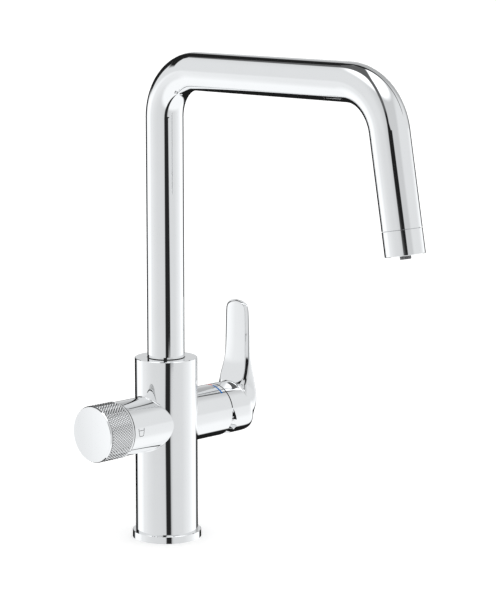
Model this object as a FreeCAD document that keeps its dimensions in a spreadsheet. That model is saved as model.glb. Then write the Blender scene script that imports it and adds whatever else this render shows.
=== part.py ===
import FreeCAD, Part
import math
import os
import re
import Sketcher

# Filtered water kitchen tap: swivel spout on a column, mixer lever on the right, filter knob on the left.
# The column stands on the worktop at z = 0, the spout points to -Y, the mixer to +X, the filter knob to -X.

doc = FreeCAD.newDocument("filtered_water_tap")
dims = doc.addObject("Spreadsheet::Sheet", "dims")

# Driving sizes in millimetres and degrees
SIZES = {
    # Column and base
    "column_dia": 47, "column_top": 138, "column_wall": 4, "base_step": 2.5, "base_high": 5.5, "foot_seat": 3,
    "foot_cavity_top": 40, "edge": 0.3, "lip_dia": 33.5, "lip_long": 4, "lip_wall": 1.35,
    "gasket_rim": 3.5, "gasket_wide": 3, "gasket_thick": 1.6,
    # Arms
    "arm_high": 90, "arm_end": 50.5, "mixer_arm_dia": 40, "filter_arm_dia": 41, "arm_blend": 0.8,
    # Waterways in the casting
    "port_dia": 9, "port_deep": 12, "way_dia": 6, "port_x": 5, "port_y": 8, "filter_port_x": 9,
    "mix_port_drop": 6, "mix_port_rise": 8, "mix_way_x": 8,
    # Fixing set under the worktop
    "worktop": 38, "stud_dia": 6, "stud_x": 5, "stud_y": 11, "stud_end": 62,
    "pad_dia": 50, "pad_thick": 3, "plate_thick": 3, "slot_half": 6.2, "hose_hole_dia": 12,
    "nut_across": 10, "nut_long": 12,
    # Fits
    "run": 0.05, "ease": 0.1, "gap": 0.4, "overcut": 2,
    # Spout
    "tube_dia": 28, "tube_wall": 1.5, "spout_high": 353.5, "spout_reach": 236, "outlet_high": 239.3,
    "lean": 10.4, "bend_near": 35, "bend_far": 38, "tube_sink": 8, "socket_deep": 18,
    "spigot_plug": 14, "spigot_wall": 3.5, "glide_wall": 2.2, "glide_low": 4,
    "collar_high": 1.2, "collar_gap": 0.35,
    "ring_low_drop": 7.4, "ring_high_drop": 2.8, "ring_sink": 0.5,
    "stop_drop": 11.4, "stop_tip_dia": 3, "stop_dia": 5,
    "stop_groove_deep": 1.3, "swing": 75, "stop_tip_turn": 9, "stop_neck": 1, "stop_sink": 1,
    "fine_dia": 6, "fine_bore_dia": 4, "fine_rise": 15, "fine_way_rise": 12.5,
    # Outlet
    "sleeve_long": 17.3, "seam": 0.45, "sleeve_wall": 2, "sleeve_lip": 1.5, "sleeve_lip_wide": 3.5,
    "insert_long": 6.5, "seal_long": 1.5, "adapter_wall": 3, "adapter_top": 30, "jet_dia": 1.8,
    "nozzle_dia": 7.8, "nozzle_out": 2.6, "nozzle_top": 14, "nozzle_socket": 6,
    # Mixer cartridge, distances from the column axis
    "cart_dia": 35, "cart_seat": 13, "cart_seal_end": 14, "cart_base_end": 17, "disc_dia": 28,
    "fixed_end": 20.5, "moving_end": 24.5, "moving_dia": 21, "slider_end": 28.4, "carrier_start": 28.8,
    "carrier_end": 38.2, "shell_end": 41, "shell_bore_dia": 30.2, "shell_mouth_dia": 27, "pivot": 34,
    "nut_end": 46, "nut_bore_dia": 27, "cap_end": 50, "cap_bore_dia": 26.4, "pin_dia": 4, "pin_long": 27,
    "spindle_side": 8, "spindle_end": 75, "ball_dia": 4.8, "ball_back": 7, "ball_room": 0.2, "neck_dia": 3.6,
    "tilt_room": 4, "chamber_wall": 3, "chamber_deep": 2,
    # Lever
    "hub_start": 51, "hub_end": 82, "hub_dia": 40, "hub_taper_at": 74, "hub_taper_dia": 38.8, "hub_round": 7.5,
    "cut_rise": 4, "cut_out": 7, "cut_knee": 11, "cut_drop": 21, "lever_screw_x": 71.5, "lever_screw_dia": 5,
    "lever_screw_long": 6, "lever_plug_long": 2,
    # Filter valve and knob, distances from the column axis
    "valve_seat": 16, "valve_seal_end": 17, "valve_seal_inset": 1, "valve_dia": 21, "valve_cavity_dia": 17.6,
    "valve_cavity_end": 25.2, "valve_disc_dia": 17, "valve_fixed_end": 20, "valve_moving_end": 23,
    "valve_foot_end": 25,
    "valve_spindle_dia": 8, "valve_thread_end": 38, "valve_flange_dia": 28, "valve_flange_end": 43,
    "valve_neck_dia": 16, "valve_neck_end": 49, "valve_spindle_end": 64, "valve_chamber_dia": 28,
    "valve_chamber_start": 22, "valve_chamber_end": 27, "valve_window_dia": 3, "valve_foot_dia": 12,
    "valve_port_dia": 4.4, "valve_port_off": 4.5,
    "knob_start": 50.9, "knob_dia": 42.4, "knob_band_end": 73.5, "knob_end": 74.7, "knob_face_dia": 41.2,
    "knob_wall": 2.6, "driver_dia": 14, "driver_start": 52.5, "driver_end": 68,
    "web_start": 60, "web_end": 64.5,
    "driver_flange": 2, "dish_rim": 0.6, "dish_deep": 0.5,
    "cap_spigot_end": 71, "cap_spigot_wall": 1.5, "cap_sink": 1,
    "knob_screw_dia": 4, "knob_screw_head_dia": 7, "knob_screw_head": 3, "knob_screw_long": 13,
    # Hot and cold marks on the mixer arm
    "mark_x": 45.5, "mark_wide": 1.5, "mark_deep": 0.3, "mark_split": 6, "mark_apart": 2, "hot_span": 24,
    "cold_span": 33,
}
# Lever blade, level by level above the arm's axis: inner edge, outer face, half width, the corners' radii
# and how far the inner face swells between its edges
BLADE = (
    (4, 62.0, 81.4, 18.6, 9, 7, 0.6),
    (12, 65.5, 81.7, 17.4, 9, 6, 0.6),
    (18, 68.6, 81.5, 16.4, 8, 4.5, 0.6),
    (24, 71.4, 80.5, 15.2, 5.5, 3.2, 0.8),
    (31, 73.2, 79.1, 13.9, 3.4, 2.2, 1),
    (39, 74.1, 77.7, 13.0, 1.9, 1.4, 1.2),
    (52, 74.6, 77.1, 12.8, 1.2, 1.1, 1.3),
    (66, 74.6, 76.8, 12.5, 1.1, 1, 1.2),
    (76, 74.5, 76.6, 12.2, 1, 1, 1.1),
    (78.6, 74.5, 76.5, 11.7, 0.9, 0.9, 1),
    (80, 74.5, 76.5, 10.2, 0.9, 0.9, 0.8),
    (81.4, 74.5, 76.4, 7.6, 0.8, 0.8, 0.5),
    (82.5, 74.6, 76.3, 4.2, 0.7, 0.7, 0.2),
)
BLADE_FIELDS = ("rise", "inner", "outer", "half", "inner_corner", "outer_corner", "swell")
for level, values in enumerate(BLADE):
    for field, value in zip(BLADE_FIELDS, values):
        SIZES["blade_%s_%d" % (field, level)] = value
for row, (name, number) in enumerate(SIZES.items(), start=1):
    dims.set("A%d" % row, name)
    dims.set("B%d" % row, str(number))
    dims.setAlias("B%d" % row, name)
doc.recompute()
SCRATCH_CELL = "D1"
pieces = []


def bound(text):
    """An expression on the sheet, written with the bare names of its sizes."""
    return re.sub(r"\b[a-z][a-z_0-9]*\b(?!\()", lambda word: "dims." + word.group(), text)


def number(text):
    """The present value of such an expression."""
    dims.set(SCRATCH_CELL, "=" + text)
    dims.recompute()
    return float(dims.get(SCRATCH_CELL))


def tie(thing, field, text):
    thing.setExpression(field, bound(text))


# Ways a piece can point: its own Z axis along this direction
TURNS = {
    "up": FreeCAD.Rotation(),
    "down": FreeCAD.Rotation(FreeCAD.Vector(1, 0, 0), 180),
    "mixer": FreeCAD.Rotation(FreeCAD.Vector(0, 1, 0), 90),
    "filter": FreeCAD.Rotation(FreeCAD.Vector(0, 1, 0), -90),
    "back": FreeCAD.Rotation(FreeCAD.Vector(1, 0, 0), -90),
    "leg": FreeCAD.Rotation(FreeCAD.Vector(-1, 0, 0), SIZES["lean"]),
}


def put(thing, way, x="0", y="0", z="0"):
    """Place a piece with its own Z axis along the named way."""
    thing.Placement = FreeCAD.Placement(FreeCAD.Vector(number(x), number(y), number(z)), TURNS[way])
    for axis, text in zip("xyz", (x, y, z)):
        tie(thing, "Placement.Base." + axis, text)
    if way == "leg":
        tie(thing, "Placement.Rotation.Angle", "lean")
    return thing


ON_COLUMN = ("up", "0", "0", "0")
ON_MIXER = ("mixer", "0", "0", "arm_high")
ON_FILTER = ("filter", "0", "0", "arm_high")
ON_LEG = ("leg", "0", "-spout_reach", "outlet_high")


def sketch_on(body, name, role):
    sketch = body.newObject("Sketcher::SketchObject", name)
    plane = [p for p in body.Origin.OriginFeatures if p.Role == role][0]
    sketch.AttachmentSupport = [(plane, "")]
    sketch.MapMode = "FlatFace"
    return sketch


def pin_down(sketch, geometry, end, across, along):
    """Tie one end of a sketch line to two expressions, across and along the sketch."""
    for kind, axis, text in (("DistanceX", -2, across), ("DistanceY", -1, along)):
        value = number(text)
        if abs(value) < 1e-9:
            sketch.addConstraint(Sketcher.Constraint("PointOnObject", geometry, end, axis))
            continue
        ends = (-1, 1, geometry, end) if value > 0 else (geometry, end, -1, 1)
        index = sketch.addConstraint(Sketcher.Constraint(kind, *ends, abs(value)))
        tie(sketch, "Constraints[%d]" % index, text if value > 0 else "-(%s)" % text)


def polygon(sketch, corners):
    """A closed outline of straight lines whose corners are tied to the sheet."""
    points = [FreeCAD.Vector(number(a), number(b), 0) for a, b in corners]
    first = sketch.GeometryCount
    count = len(points)
    for i in range(count):
        sketch.addGeometry(Part.LineSegment(points[i], points[(i + 1) % count]))
    for i in range(count):
        sketch.addConstraint(Sketcher.Constraint("Coincident", first + i, 2, first + (i + 1) % count, 1))
    for i, (a, b) in enumerate(corners):
        pin_down(sketch, first + i, 1, a, b)


def new_body(name):
    return doc.addObject("PartDesign::Body", name)


def turned(name, corners, place):
    """A lathe-turned piece: corners are radius and height on its own Z axis."""
    body = new_body(name)
    sketch = sketch_on(body, name + "_profile", "XZ_Plane")
    polygon(sketch, corners)
    turn = body.newObject("PartDesign::Revolution", name + "_turn")
    turn.Profile = sketch
    turn.ReferenceAxis = (sketch, ["V_Axis"])
    turn.Angle = 360
    return put(body, *place)


def ring(name, outer, inner, low, high, place):
    """A plain ring or, with no inner radius, a disc."""
    return turned(name, [(inner, low), (outer, low), (outer, high), (inner, high)], place)


def rod(name, radius, long, place):
    tool = doc.addObject("Part::Cylinder", name)
    tie(tool, "Radius", radius)
    tie(tool, "Height", long)
    return put(tool, *place)


def block(name, wide, deep, high, place):
    """A box centred across its own X and Y, standing on its own Z = 0."""
    tool = doc.addObject("Part::Box", name)
    for field, text in (("Length", wide), ("Width", deep), ("Height", high)):
        tie(tool, field, text)
    return put(tool, *place)


def joined(name, things):
    whole = doc.addObject("Part::MultiFuse", name)
    whole.Shapes = things
    return whole


def cut(name, base, tools):
    whole = doc.addObject("Part::Cut", name)
    whole.Base = base
    whole.Tool = tools[0] if len(tools) == 1 else joined(name + "_tools", tools)
    return whole


def piece(thing, label):
    thing.Label = label
    pieces.append(thing)
    return thing


# Base ring, with the lip that centres the tap in its worktop hole and the groove for the gasket
COLUMN = "column_dia / 2"
BASE = "column_dia / 2 + base_step"
LIP_BORE = "lip_dia / 2 - lip_wall"
GASKET_OUT = BASE + " - gasket_rim"
GASKET_IN = GASKET_OUT + " - gasket_wide"
base_ring = turned("base_ring_body", [
    (LIP_BORE, "-lip_long"), ("lip_dia / 2", "-lip_long"), ("lip_dia / 2", "0"), (GASKET_IN, "0"),
    (GASKET_IN, "gasket_thick"), (GASKET_OUT, "gasket_thick"), (GASKET_OUT, "0"), (BASE, "0"),
    (BASE, "base_high - edge"), (BASE + " - edge", "base_high"), (COLUMN, "base_high"), (COLUMN, "foot_seat"),
    (LIP_BORE, "foot_seat"),
], ON_COLUMN)
piece(base_ring, "base_ring")
piece(ring("base_gasket_body", GASKET_OUT, GASKET_IN, "0", "gasket_thick", ON_COLUMN), "base_gasket")

# Body casting: the column with its two arms, bored for the spout, the cartridge, the valve and the waterways
column = turned("column_blank", [
    ("0", "foot_seat"), (COLUMN, "foot_seat"), (COLUMN, "column_top - edge"),
    (COLUMN + " - edge", "column_top"), ("0", "column_top"),
], ON_COLUMN)
mixer_arm = rod("mixer_arm_blank", "mixer_arm_dia / 2", "arm_end", ON_MIXER)
filter_arm = rod("filter_arm_blank", "filter_arm_dia / 2", "arm_end", ON_FILTER)
blank = joined("casting_blank", [column, mixer_arm, filter_arm])
doc.recompute()


def on_column_skin(edge):
    """Is this edge one where an arm meets the column?"""
    points = edge.discretize(9)
    on_skin = all(abs(math.hypot(p.x, p.y) - number(COLUMN)) < 0.01 for p in points)
    off_centre = abs(edge.CenterOfMass.x) > 1 and edge.BoundBox.ZLength > 1
    return on_skin and off_centre and edge.BoundBox.ZMax < number("column_top") - 1


SOCKET = "tube_dia / 2 + glide_wall"
TUBE_FOOT = "column_top - tube_sink"
SOCKET_FLOOR = "column_top - tube_sink - socket_deep"
STOP_Z = "column_top - tube_sink - stop_drop"
FINE_WAY = "arm_high + fine_way_rise"
blend = doc.addObject("Part::Fillet", "arm_blends")
blend.Base = blank
blend.Edges = [(i + 1, SIZES["arm_blend"], SIZES["arm_blend"])
               for i, edge in enumerate(blank.Shape.Edges) if on_column_skin(edge)]
bores = [
    rod("foot_cavity", COLUMN + " - column_wall", "foot_cavity_top - foot_seat", ("up", "0", "0", "foot_seat")),
    rod("spout_socket", SOCKET, "tube_sink + socket_deep", ("up", "0", "0", SOCKET_FLOOR)),
    rod("cartridge_bore", "cart_dia / 2", "arm_end - cart_seat", ("mixer", "cart_seat", "0", "arm_high")),
    rod("valve_bore", "valve_dia / 2", "arm_end - valve_seat", ("filter", "-valve_seat", "0", "arm_high")),
    rod("valve_chamber", "valve_chamber_dia / 2", "valve_chamber_end - valve_chamber_start",
        ("filter", "-valve_chamber_start", "0", "arm_high")),
    rod("valve_mouth", "valve_flange_dia / 2 + ease", "arm_end - valve_thread_end",
        ("filter", "-valve_thread_end", "0", "arm_high")),
    rod("mixed_cross_way", "way_dia / 2", "cart_seat - mix_way_x",
        ("mixer", "mix_way_x", "0", "arm_high + mix_port_rise")),
    rod("mixed_rising_way", "way_dia / 2", SOCKET_FLOOR + " - arm_high - mix_port_rise",
        ("up", "mix_way_x", "0", "arm_high + mix_port_rise")),
    rod("filter_inlet", "port_dia / 2", "port_deep", ("up", "-filter_port_x", "0", "foot_cavity_top")),
    rod("filter_rising_way", "way_dia / 2", "arm_high - foot_cavity_top",
        ("up", "-filter_port_x", "0", "foot_cavity_top")),
    rod("filter_cross_way", "way_dia / 2", "valve_seat - filter_port_x",
        ("filter", "-filter_port_x", "0", "arm_high")),
    rod("fine_cross_way", "way_dia / 3", "valve_chamber_end",
        ("filter", "0", "0", FINE_WAY)),
    rod("fine_rising_way", "fine_dia / 2 + run", "%s - (%s)" % (SOCKET_FLOOR, FINE_WAY),
        ("up", "0", "0", FINE_WAY)),
    rod("stop_screw_hole", "stop_dia / 2", COLUMN, ("back", "0", "0", STOP_Z)),
]
for side, sign in (("hot", "-"), ("cold", "")):
    port_y = sign + "port_y"
    bores += [
        rod(side + "_inlet", "port_dia / 2", "port_deep", ("up", "port_x", port_y, "foot_cavity_top")),
        rod(side + "_rising_way", "way_dia / 2", "arm_high - mix_port_drop - foot_cavity_top",
            ("up", "port_x", port_y, "foot_cavity_top")),
        rod(side + "_cross_way", "way_dia / 2", "cart_seat - port_x",
            ("mixer", "port_x", port_y, "arm_high - mix_port_drop")),
        rod(side + "_stud_hole", "stud_dia / 2", "port_deep",
            ("up", "-stud_x", sign + "stud_y", "foot_cavity_top")),
    ]


def mark(name, span, start, inner, outer):
    """A slice of a ring on the mixer arm, start and span in degrees forward of the top."""
    slice_of = rod(name + "_slice", outer, "mark_wide", ("mixer", "mark_x", "0", "arm_high"))
    tie(slice_of, "Angle", span)
    slice_of.Placement = FreeCAD.Placement(
        FreeCAD.Vector(number("mark_x"), 0, number("arm_high")),
        TURNS["mixer"].multiply(FreeCAD.Rotation(FreeCAD.Vector(0, 0, 1), 180 + number(start))))
    core = rod(name + "_core", inner, "mark_wide", ("mixer", "mark_x", "0", "arm_high"))
    return cut(name, slice_of, [core])


MARKS = (
    ("hot_mark", "hot_span", "mark_split - hot_span"),
    ("cold_mark", "cold_span", "mark_split + mark_apart"),
)
MARK_FLOOR = "mixer_arm_dia / 2 - mark_deep"
for name, span, start in MARKS:
    bores.append(mark(name + "_recess", span, start, MARK_FLOOR, "mixer_arm_dia / 2 + mark_deep"))
casting = piece(cut("casting", blend, bores), "body_casting")
for name, span, start in MARKS:
    piece(mark(name + "_fill", span, start, MARK_FLOOR, "mixer_arm_dia / 2"), name)

# Fixing set: two studs screwed into the casting, a horseshoe pad and plate, and two long nuts
for side, sign in (("front", "-"), ("rear", "")):
    stud_y = sign + "stud_y"
    piece(rod("stud_" + side, "stud_dia / 2", "foot_cavity_top + port_deep + stud_end",
              ("up", "-stud_x", stud_y, "-stud_end")), "fixing_stud_" + side)
    hexagon = doc.addObject("Part::Prism", "nut_blank_" + side)
    hexagon.Polygon = 6
    tie(hexagon, "Circumradius", "nut_across / sqrt(3)")
    tie(hexagon, "Height", "nut_long")
    nut_place = ("up", "-stud_x", stud_y, "-worktop - pad_thick - plate_thick - nut_long")
    put(hexagon, *nut_place)
    bore = rod("nut_bore_" + side, "stud_dia / 2", "nut_long", nut_place)
    piece(cut("nut_" + side, hexagon, [bore]), "fixing_nut_" + side)


def horseshoe(name, thick, low):
    """A round plate with a slot for the hoses, open to the mixer side, and two stud holes."""
    plate = rod(name + "_blank", "pad_dia / 2", thick, ("up", "0", "0", low))
    slot_place = ("up", "-filter_port_x", "-slot_half", low)
    slot = block(name + "_slot", "pad_dia", "slot_half * 2", thick, slot_place)
    holes = [rod(name + "_inner_end", "slot_half", thick, ("up", "-filter_port_x", "0", low)), slot]
    for sign in ("-", ""):
        hose_place = ("up", "port_x", sign + "port_y", low)
        stud_place = ("up", "-stud_x", sign + "stud_y", low)
        holes.append(rod(name + "_hose" + sign, "hose_hole_dia / 2", thick, hose_place))
        holes.append(rod(name + "_stud" + sign, "stud_dia / 2", thick, stud_place))
    return cut(name, plate, holes)


piece(horseshoe("pad", "pad_thick", "-worktop - pad_thick"), "clamp_pad")
piece(horseshoe("plate", "plate_thick", "-worktop - pad_thick - plate_thick"), "clamp_plate")

# Spout tube: one tube bent twice, with the filtered water's own fine tube inside it


def spout_path(sketch, foot, stop):
    """Centre line of the spout from a height on the column to a distance up the leg from the outlet."""
    high, lean = number("spout_high"), math.radians(number("lean"))
    near, far = number("bend_near"), number("bend_far")
    up = FreeCAD.Vector(math.sin(lean), math.cos(lean), 0)
    outlet = FreeCAD.Vector(-number("spout_reach"), number("outlet_high"), 0)
    corner = outlet + up * ((high - outlet.y) / math.cos(lean))
    turn = math.pi / 2 - lean
    back = far * math.tan(turn / 2)
    far_centre = FreeCAD.Vector(corner.x + back, high - far, 0)
    end_reach = "spout_reach - (%s) * sin(lean * 1deg)" % stop
    end_high = "outlet_high + (%s) * cos(lean * 1deg)" % stop
    end = FreeCAD.Vector(-number(end_reach), number(end_high), 0)
    leg_top = corner - up * back
    lines = [
        Part.LineSegment(FreeCAD.Vector(0, number(foot), 0), FreeCAD.Vector(0, high - near, 0)),
        Part.ArcOfCircle(Part.Circle(FreeCAD.Vector(-near, high - near, 0), FreeCAD.Vector(0, 0, 1), near),
                         0, math.pi / 2),
        Part.LineSegment(FreeCAD.Vector(-near, high, 0), FreeCAD.Vector(corner.x + back, high, 0)),
        Part.ArcOfCircle(Part.Circle(far_centre, FreeCAD.Vector(0, 0, 1), far), math.pi / 2, math.pi - lean),
        Part.LineSegment(leg_top, end),
    ]
    for line in lines:
        sketch.addGeometry(line)
    for first, first_end, second, second_end in ((0, 2, 1, 1), (1, 2, 2, 1), (2, 2, 3, 1), (3, 2, 4, 1)):
        sketch.addConstraint(Sketcher.Constraint("Tangent", first, first_end, second, second_end))
    sketch.addConstraint(Sketcher.Constraint("Vertical", 0))
    sketch.addConstraint(Sketcher.Constraint("Horizontal", 2))
    pin_down(sketch, 0, 1, "0", foot)
    for arc, name in ((1, "bend_near"), (3, "bend_far")):
        index = sketch.addConstraint(Sketcher.Constraint("Radius", arc, number(name)))
        tie(sketch, "Constraints[%d]" % index, name)
    for kind, ends, value, text in (
        ("DistanceY", (-1, 1, 2, 1), high, "spout_high"),
        ("DistanceX", (4, 2, -1, 1), -end.x, end_reach),
        ("DistanceY", (-1, 1, 4, 2), end.y, end_high),
        ("Angle", (4,), -math.pi / 2 - lean, "(-90 - lean) * 1deg"),
    ):
        index = sketch.addConstraint(Sketcher.Constraint(kind, *ends, value))
        tie(sketch, "Constraints[%d]" % index, text)


def bent_tube(name, outer, inner, foot, stop):
    body = new_body(name)
    path = sketch_on(body, name + "_path", "YZ_Plane")
    spout_path(path, foot, stop)
    section = sketch_on(body, name + "_section", "XY_Plane")
    tie(section, "AttachmentOffset.Base.z", foot)
    for radius in (outer, inner):
        index = section.addGeometry(Part.Circle(FreeCAD.Vector(), FreeCAD.Vector(0, 0, 1), number(radius)))
        section.addConstraint(Sketcher.Constraint("Coincident", index, 3, -1, 1))
        held = section.addConstraint(Sketcher.Constraint("Radius", index, number(radius)))
        tie(section, "Constraints[%d]" % held, radius)
    doc.recompute()
    pipe = body.newObject("PartDesign::AdditivePipe", name + "_pipe")
    pipe.Profile = section
    pipe.Spine = path
    return body


TUBE_BORE = "tube_dia / 2 - tube_wall"
NOZZLE_SEAT = "nozzle_top - nozzle_socket"
FINE_FOOT = "arm_high + fine_rise"
piece(bent_tube("spout_bent_tube", "tube_dia / 2", TUBE_BORE, TUBE_FOOT, "sleeve_long + seam"),
      "spout_tube")
piece(bent_tube("fine_bent_tube", "fine_dia / 2", "fine_bore_dia / 2", FINE_FOOT, NOZZLE_SEAT),
      "filtered_water_tube")

# Spout spigot: soldered into the foot of the tube, with grooves for two rings and for the stop screw
RING_FLOOR = "tube_dia / 2 - ring_sink"
CORD = "(glide_wall + ring_sink - ease) / 2"
STOP_FLOOR = "tube_dia / 2 - stop_groove_deep"
SPIGOT_BORE = TUBE_BORE + " - spigot_wall"
SPIGOT_TOP = TUBE_FOOT + " + spigot_plug"
RING_LOW = TUBE_FOOT + " - ring_low_drop"
RING_HIGH = TUBE_FOOT + " - ring_high_drop"


def ring_groove(height):
    """Corners of the groove for one sealing ring."""
    low, high = height + " - " + CORD, height + " + " + CORD
    outer = "tube_dia / 2"
    return (outer, low), (RING_FLOOR, low), (RING_FLOOR, high), (outer, high)


spigot_blank = turned("spigot_blank", [
    (SPIGOT_BORE, SOCKET_FLOOR + " + gap"), ("tube_dia / 2", SOCKET_FLOOR + " + gap"),
    *ring_groove(RING_LOW), *ring_groove(RING_HIGH), ("tube_dia / 2", TUBE_FOOT),
    (TUBE_BORE, TUBE_FOOT), (TUBE_BORE, SPIGOT_TOP), (SPIGOT_BORE, SPIGOT_TOP),
], ON_COLUMN)
STOP_HALF = "swing + stop_tip_turn"
STOP_LOW = STOP_Z + " - stop_tip_dia / 2 - gap"
STOP_WIDE = "stop_tip_dia + 2 * gap"
groove = rod("stop_groove_slice", "tube_dia / 2 + gap", STOP_WIDE, ("up", "0", "0", STOP_LOW))
tie(groove, "Angle", "2 * (%s)" % STOP_HALF)
groove.Placement.Rotation = FreeCAD.Rotation(FreeCAD.Vector(0, 0, 1), 90 - number(STOP_HALF))
groove_core = rod("stop_groove_core", STOP_FLOOR, STOP_WIDE, ("up", "0", "0", STOP_LOW))
piece(cut("spigot", spigot_blank, [cut("stop_groove", groove, [groove_core])]), "spout_spigot")
for place, height in (("lower", RING_LOW), ("upper", RING_HIGH)):
    cord = doc.addObject("Part::Torus", "spout_ring_" + place)
    tie(cord, "Radius1", RING_FLOOR + " + " + CORD)
    tie(cord, "Radius2", CORD)
    piece(put(cord, "up", "0", "0", height), "spout_seal_" + place)
for place, low, top in (
    ("lower", SOCKET_FLOOR, SOCKET_FLOOR + " + glide_low"),
    ("upper", TUBE_FOOT, "column_top - collar_high"),
):
    glide = ring("glide_ring_" + place, SOCKET, "tube_dia / 2 + run", low, top, ON_COLUMN)
    piece(glide, "spout_glide_ring_" + place)
piece(ring("collar_ring_body", SOCKET, "tube_dia / 2 + collar_gap", "column_top - collar_high", "column_top",
           ON_COLUMN), "spout_collar_ring")
stop_screw = turned("stop_screw_body", [
    ("0", STOP_FLOOR + " + gap"), ("stop_tip_dia / 2", STOP_FLOOR + " + gap"),
    ("stop_tip_dia / 2", "tube_dia / 2 + stop_neck"), ("stop_dia / 2", SOCKET),
    ("stop_dia / 2", COLUMN + " - stop_sink"), ("0", COLUMN + " - stop_sink"),
], ("back", "0", "0", STOP_Z))
piece(stop_screw, "spout_stop_screw")

# Outlet: a threaded adapter in the tube's end, the sleeve, the aerator insert with its seal, and the nozzle
SEAL_START = "sleeve_lip + insert_long"
ADAPTER_START = "sleeve_lip + insert_long + seal_long"
INSERT = "tube_dia / 2 - sleeve_wall"
SLEEVE_MOUTH = "tube_dia / 2 - sleeve_lip_wide"
ADAPTER_BORE = TUBE_BORE + " - adapter_wall"
piece(turned("adapter_body", [
    (ADAPTER_BORE, ADAPTER_START), (INSERT, ADAPTER_START),
    (INSERT, "sleeve_long + seam"), (TUBE_BORE, "sleeve_long + seam"), (TUBE_BORE, "adapter_top"),
    (ADAPTER_BORE, "adapter_top"),
], ON_LEG), "outlet_adapter")
piece(turned("sleeve_body", [
    (SLEEVE_MOUTH, "0"), ("tube_dia / 2 - edge", "0"), ("tube_dia / 2", "edge"),
    ("tube_dia / 2", "sleeve_long"), (INSERT, "sleeve_long"), (INSERT, "sleeve_lip"),
    (SLEEVE_MOUTH, "sleeve_lip"),
], ON_LEG), "aerator_sleeve")
insert = ring("insert_blank", INSERT, "nozzle_dia / 2", "sleeve_lip", SEAL_START, ON_LEG)


def on_leg(across, rise, along):
    """A place on the leaning leg, measured from the outlet's centre on the leg's own axes."""
    y = "(%s) * cos(lean * 1deg) + (%s) * sin(lean * 1deg) - spout_reach" % (rise, along)
    z = "outlet_high - (%s) * sin(lean * 1deg) + (%s) * cos(lean * 1deg)" % (rise, along)
    return "leg", across, y, z


JETS = 12
JET_RING = "(nozzle_dia / 2 + %s) / 2" % SLEEVE_MOUTH
jets = []
for i in range(JETS):
    angle = 360 * i / JETS
    across, rise = ("%s * %s(%g * 1deg)" % (JET_RING, wave, angle) for wave in ("cos", "sin"))
    jets.append(rod("jet_%d" % i, "jet_dia / 2", "insert_long", on_leg(across, rise, "sleeve_lip")))
piece(cut("insert", insert, jets), "aerator_insert")
piece(ring("aerator_seal_body", INSERT, ADAPTER_BORE, SEAL_START, ADAPTER_START, ON_LEG),
      "aerator_seal")
piece(turned("nozzle_body", [
    ("fine_bore_dia / 2", "-nozzle_out"), ("nozzle_dia / 2 - edge", "-nozzle_out"),
    ("nozzle_dia / 2", "edge - nozzle_out"), ("nozzle_dia / 2", "nozzle_top"), ("fine_dia / 2", "nozzle_top"),
    ("fine_dia / 2", NOZZLE_SEAT), ("fine_bore_dia / 2", NOZZLE_SEAT),
], ON_LEG), "filtered_water_nozzle")

# Mixer cartridge: base with its seal, fixed and moving ceramic discs, shell, and the carrier that turns in it
MIX_PORTS = (("0", "mix_port_rise"), ("-port_y", "-mix_port_drop"), ("port_y", "-mix_port_drop"))


def ported(name, blank, start, long):
    """A disc of the cartridge with its three water ports."""
    ports = []
    for i, (across, rise) in enumerate(MIX_PORTS):
        place = ("mixer", start, across, "arm_high + " + rise)
        ports.append(rod("%s_port_%d" % (name, i), "way_dia / 2", long, place))
    return cut(name, blank, ports)


for label, radius, start, stop in (
    ("cartridge_seal", "cart_dia / 2 - ease", "cart_seat", "cart_seal_end"),
    ("cartridge_base", "cart_dia / 2", "cart_seal_end", "cart_base_end"),
    ("fixed_mixing_disc", "disc_dia / 2", "cart_base_end", "fixed_end"),
):
    blank = ring(label + "_blank", radius, "0", start, stop, ON_MIXER)
    piece(ported(label + "_cut", blank, start, "%s - %s" % (stop, start)), label)
moving_blank = ring("moving_blank", "moving_dia / 2", "0", "fixed_end", "moving_end", ON_MIXER)
chamber = rod("moving_chamber", "moving_dia / 2 - chamber_wall", "chamber_deep",
              ("mixer", "fixed_end", "0", "arm_high"))
piece(cut("moving_cut", moving_blank, [chamber]), "moving_mixing_disc")
slider_blank = ring("slider_blank", "moving_dia / 2", "0", "moving_end", "slider_end", ON_MIXER)
SLOT_HALF = "ball_dia / 2 + ball_room"
slider_slot = block("slider_slot", "2 * (%s)" % SLOT_HALF, "2 * (%s)" % SLOT_HALF, "slider_end - moving_end",
                    ("mixer", "moving_end", "-(%s)" % SLOT_HALF, "arm_high + " + SLOT_HALF))
piece(cut("slider_cut", slider_blank, [slider_slot]), "disc_slider")
piece(turned("shell_body", [
    ("shell_bore_dia / 2", "cart_base_end"), ("cart_dia / 2", "cart_base_end"), ("cart_dia / 2", "shell_end"),
    ("shell_mouth_dia / 2", "shell_end"), ("shell_mouth_dia / 2", "carrier_end + ease"),
    ("shell_bore_dia / 2", "carrier_end + ease"),
], ON_MIXER), "cartridge_shell")
carrier_blank = ring("carrier_blank", "shell_bore_dia / 2 - run", "0", "carrier_start", "carrier_end",
                     ON_MIXER)
TILT_HALF = "spindle_side / 2 + tilt_room"
carrier_slot = block("carrier_slot", "2 * (%s)" % TILT_HALF, "spindle_side + 2 * ease",
                     "carrier_end - carrier_start",
                     ("mixer", "carrier_start", "-spindle_side / 2 - ease", "arm_high + " + TILT_HALF))
PIN_PLACE = ("back", "pivot", "-pin_long / 2", "arm_high")
pin_hole = rod("carrier_pin_hole", "pin_dia / 2", "pin_long", PIN_PLACE)
piece(cut("carrier_cut", carrier_blank, [carrier_slot, pin_hole]), "spindle_carrier")
piece(rod("pivot_pin_rod", "pin_dia / 2", "pin_long", PIN_PLACE), "pivot_pin")

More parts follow.
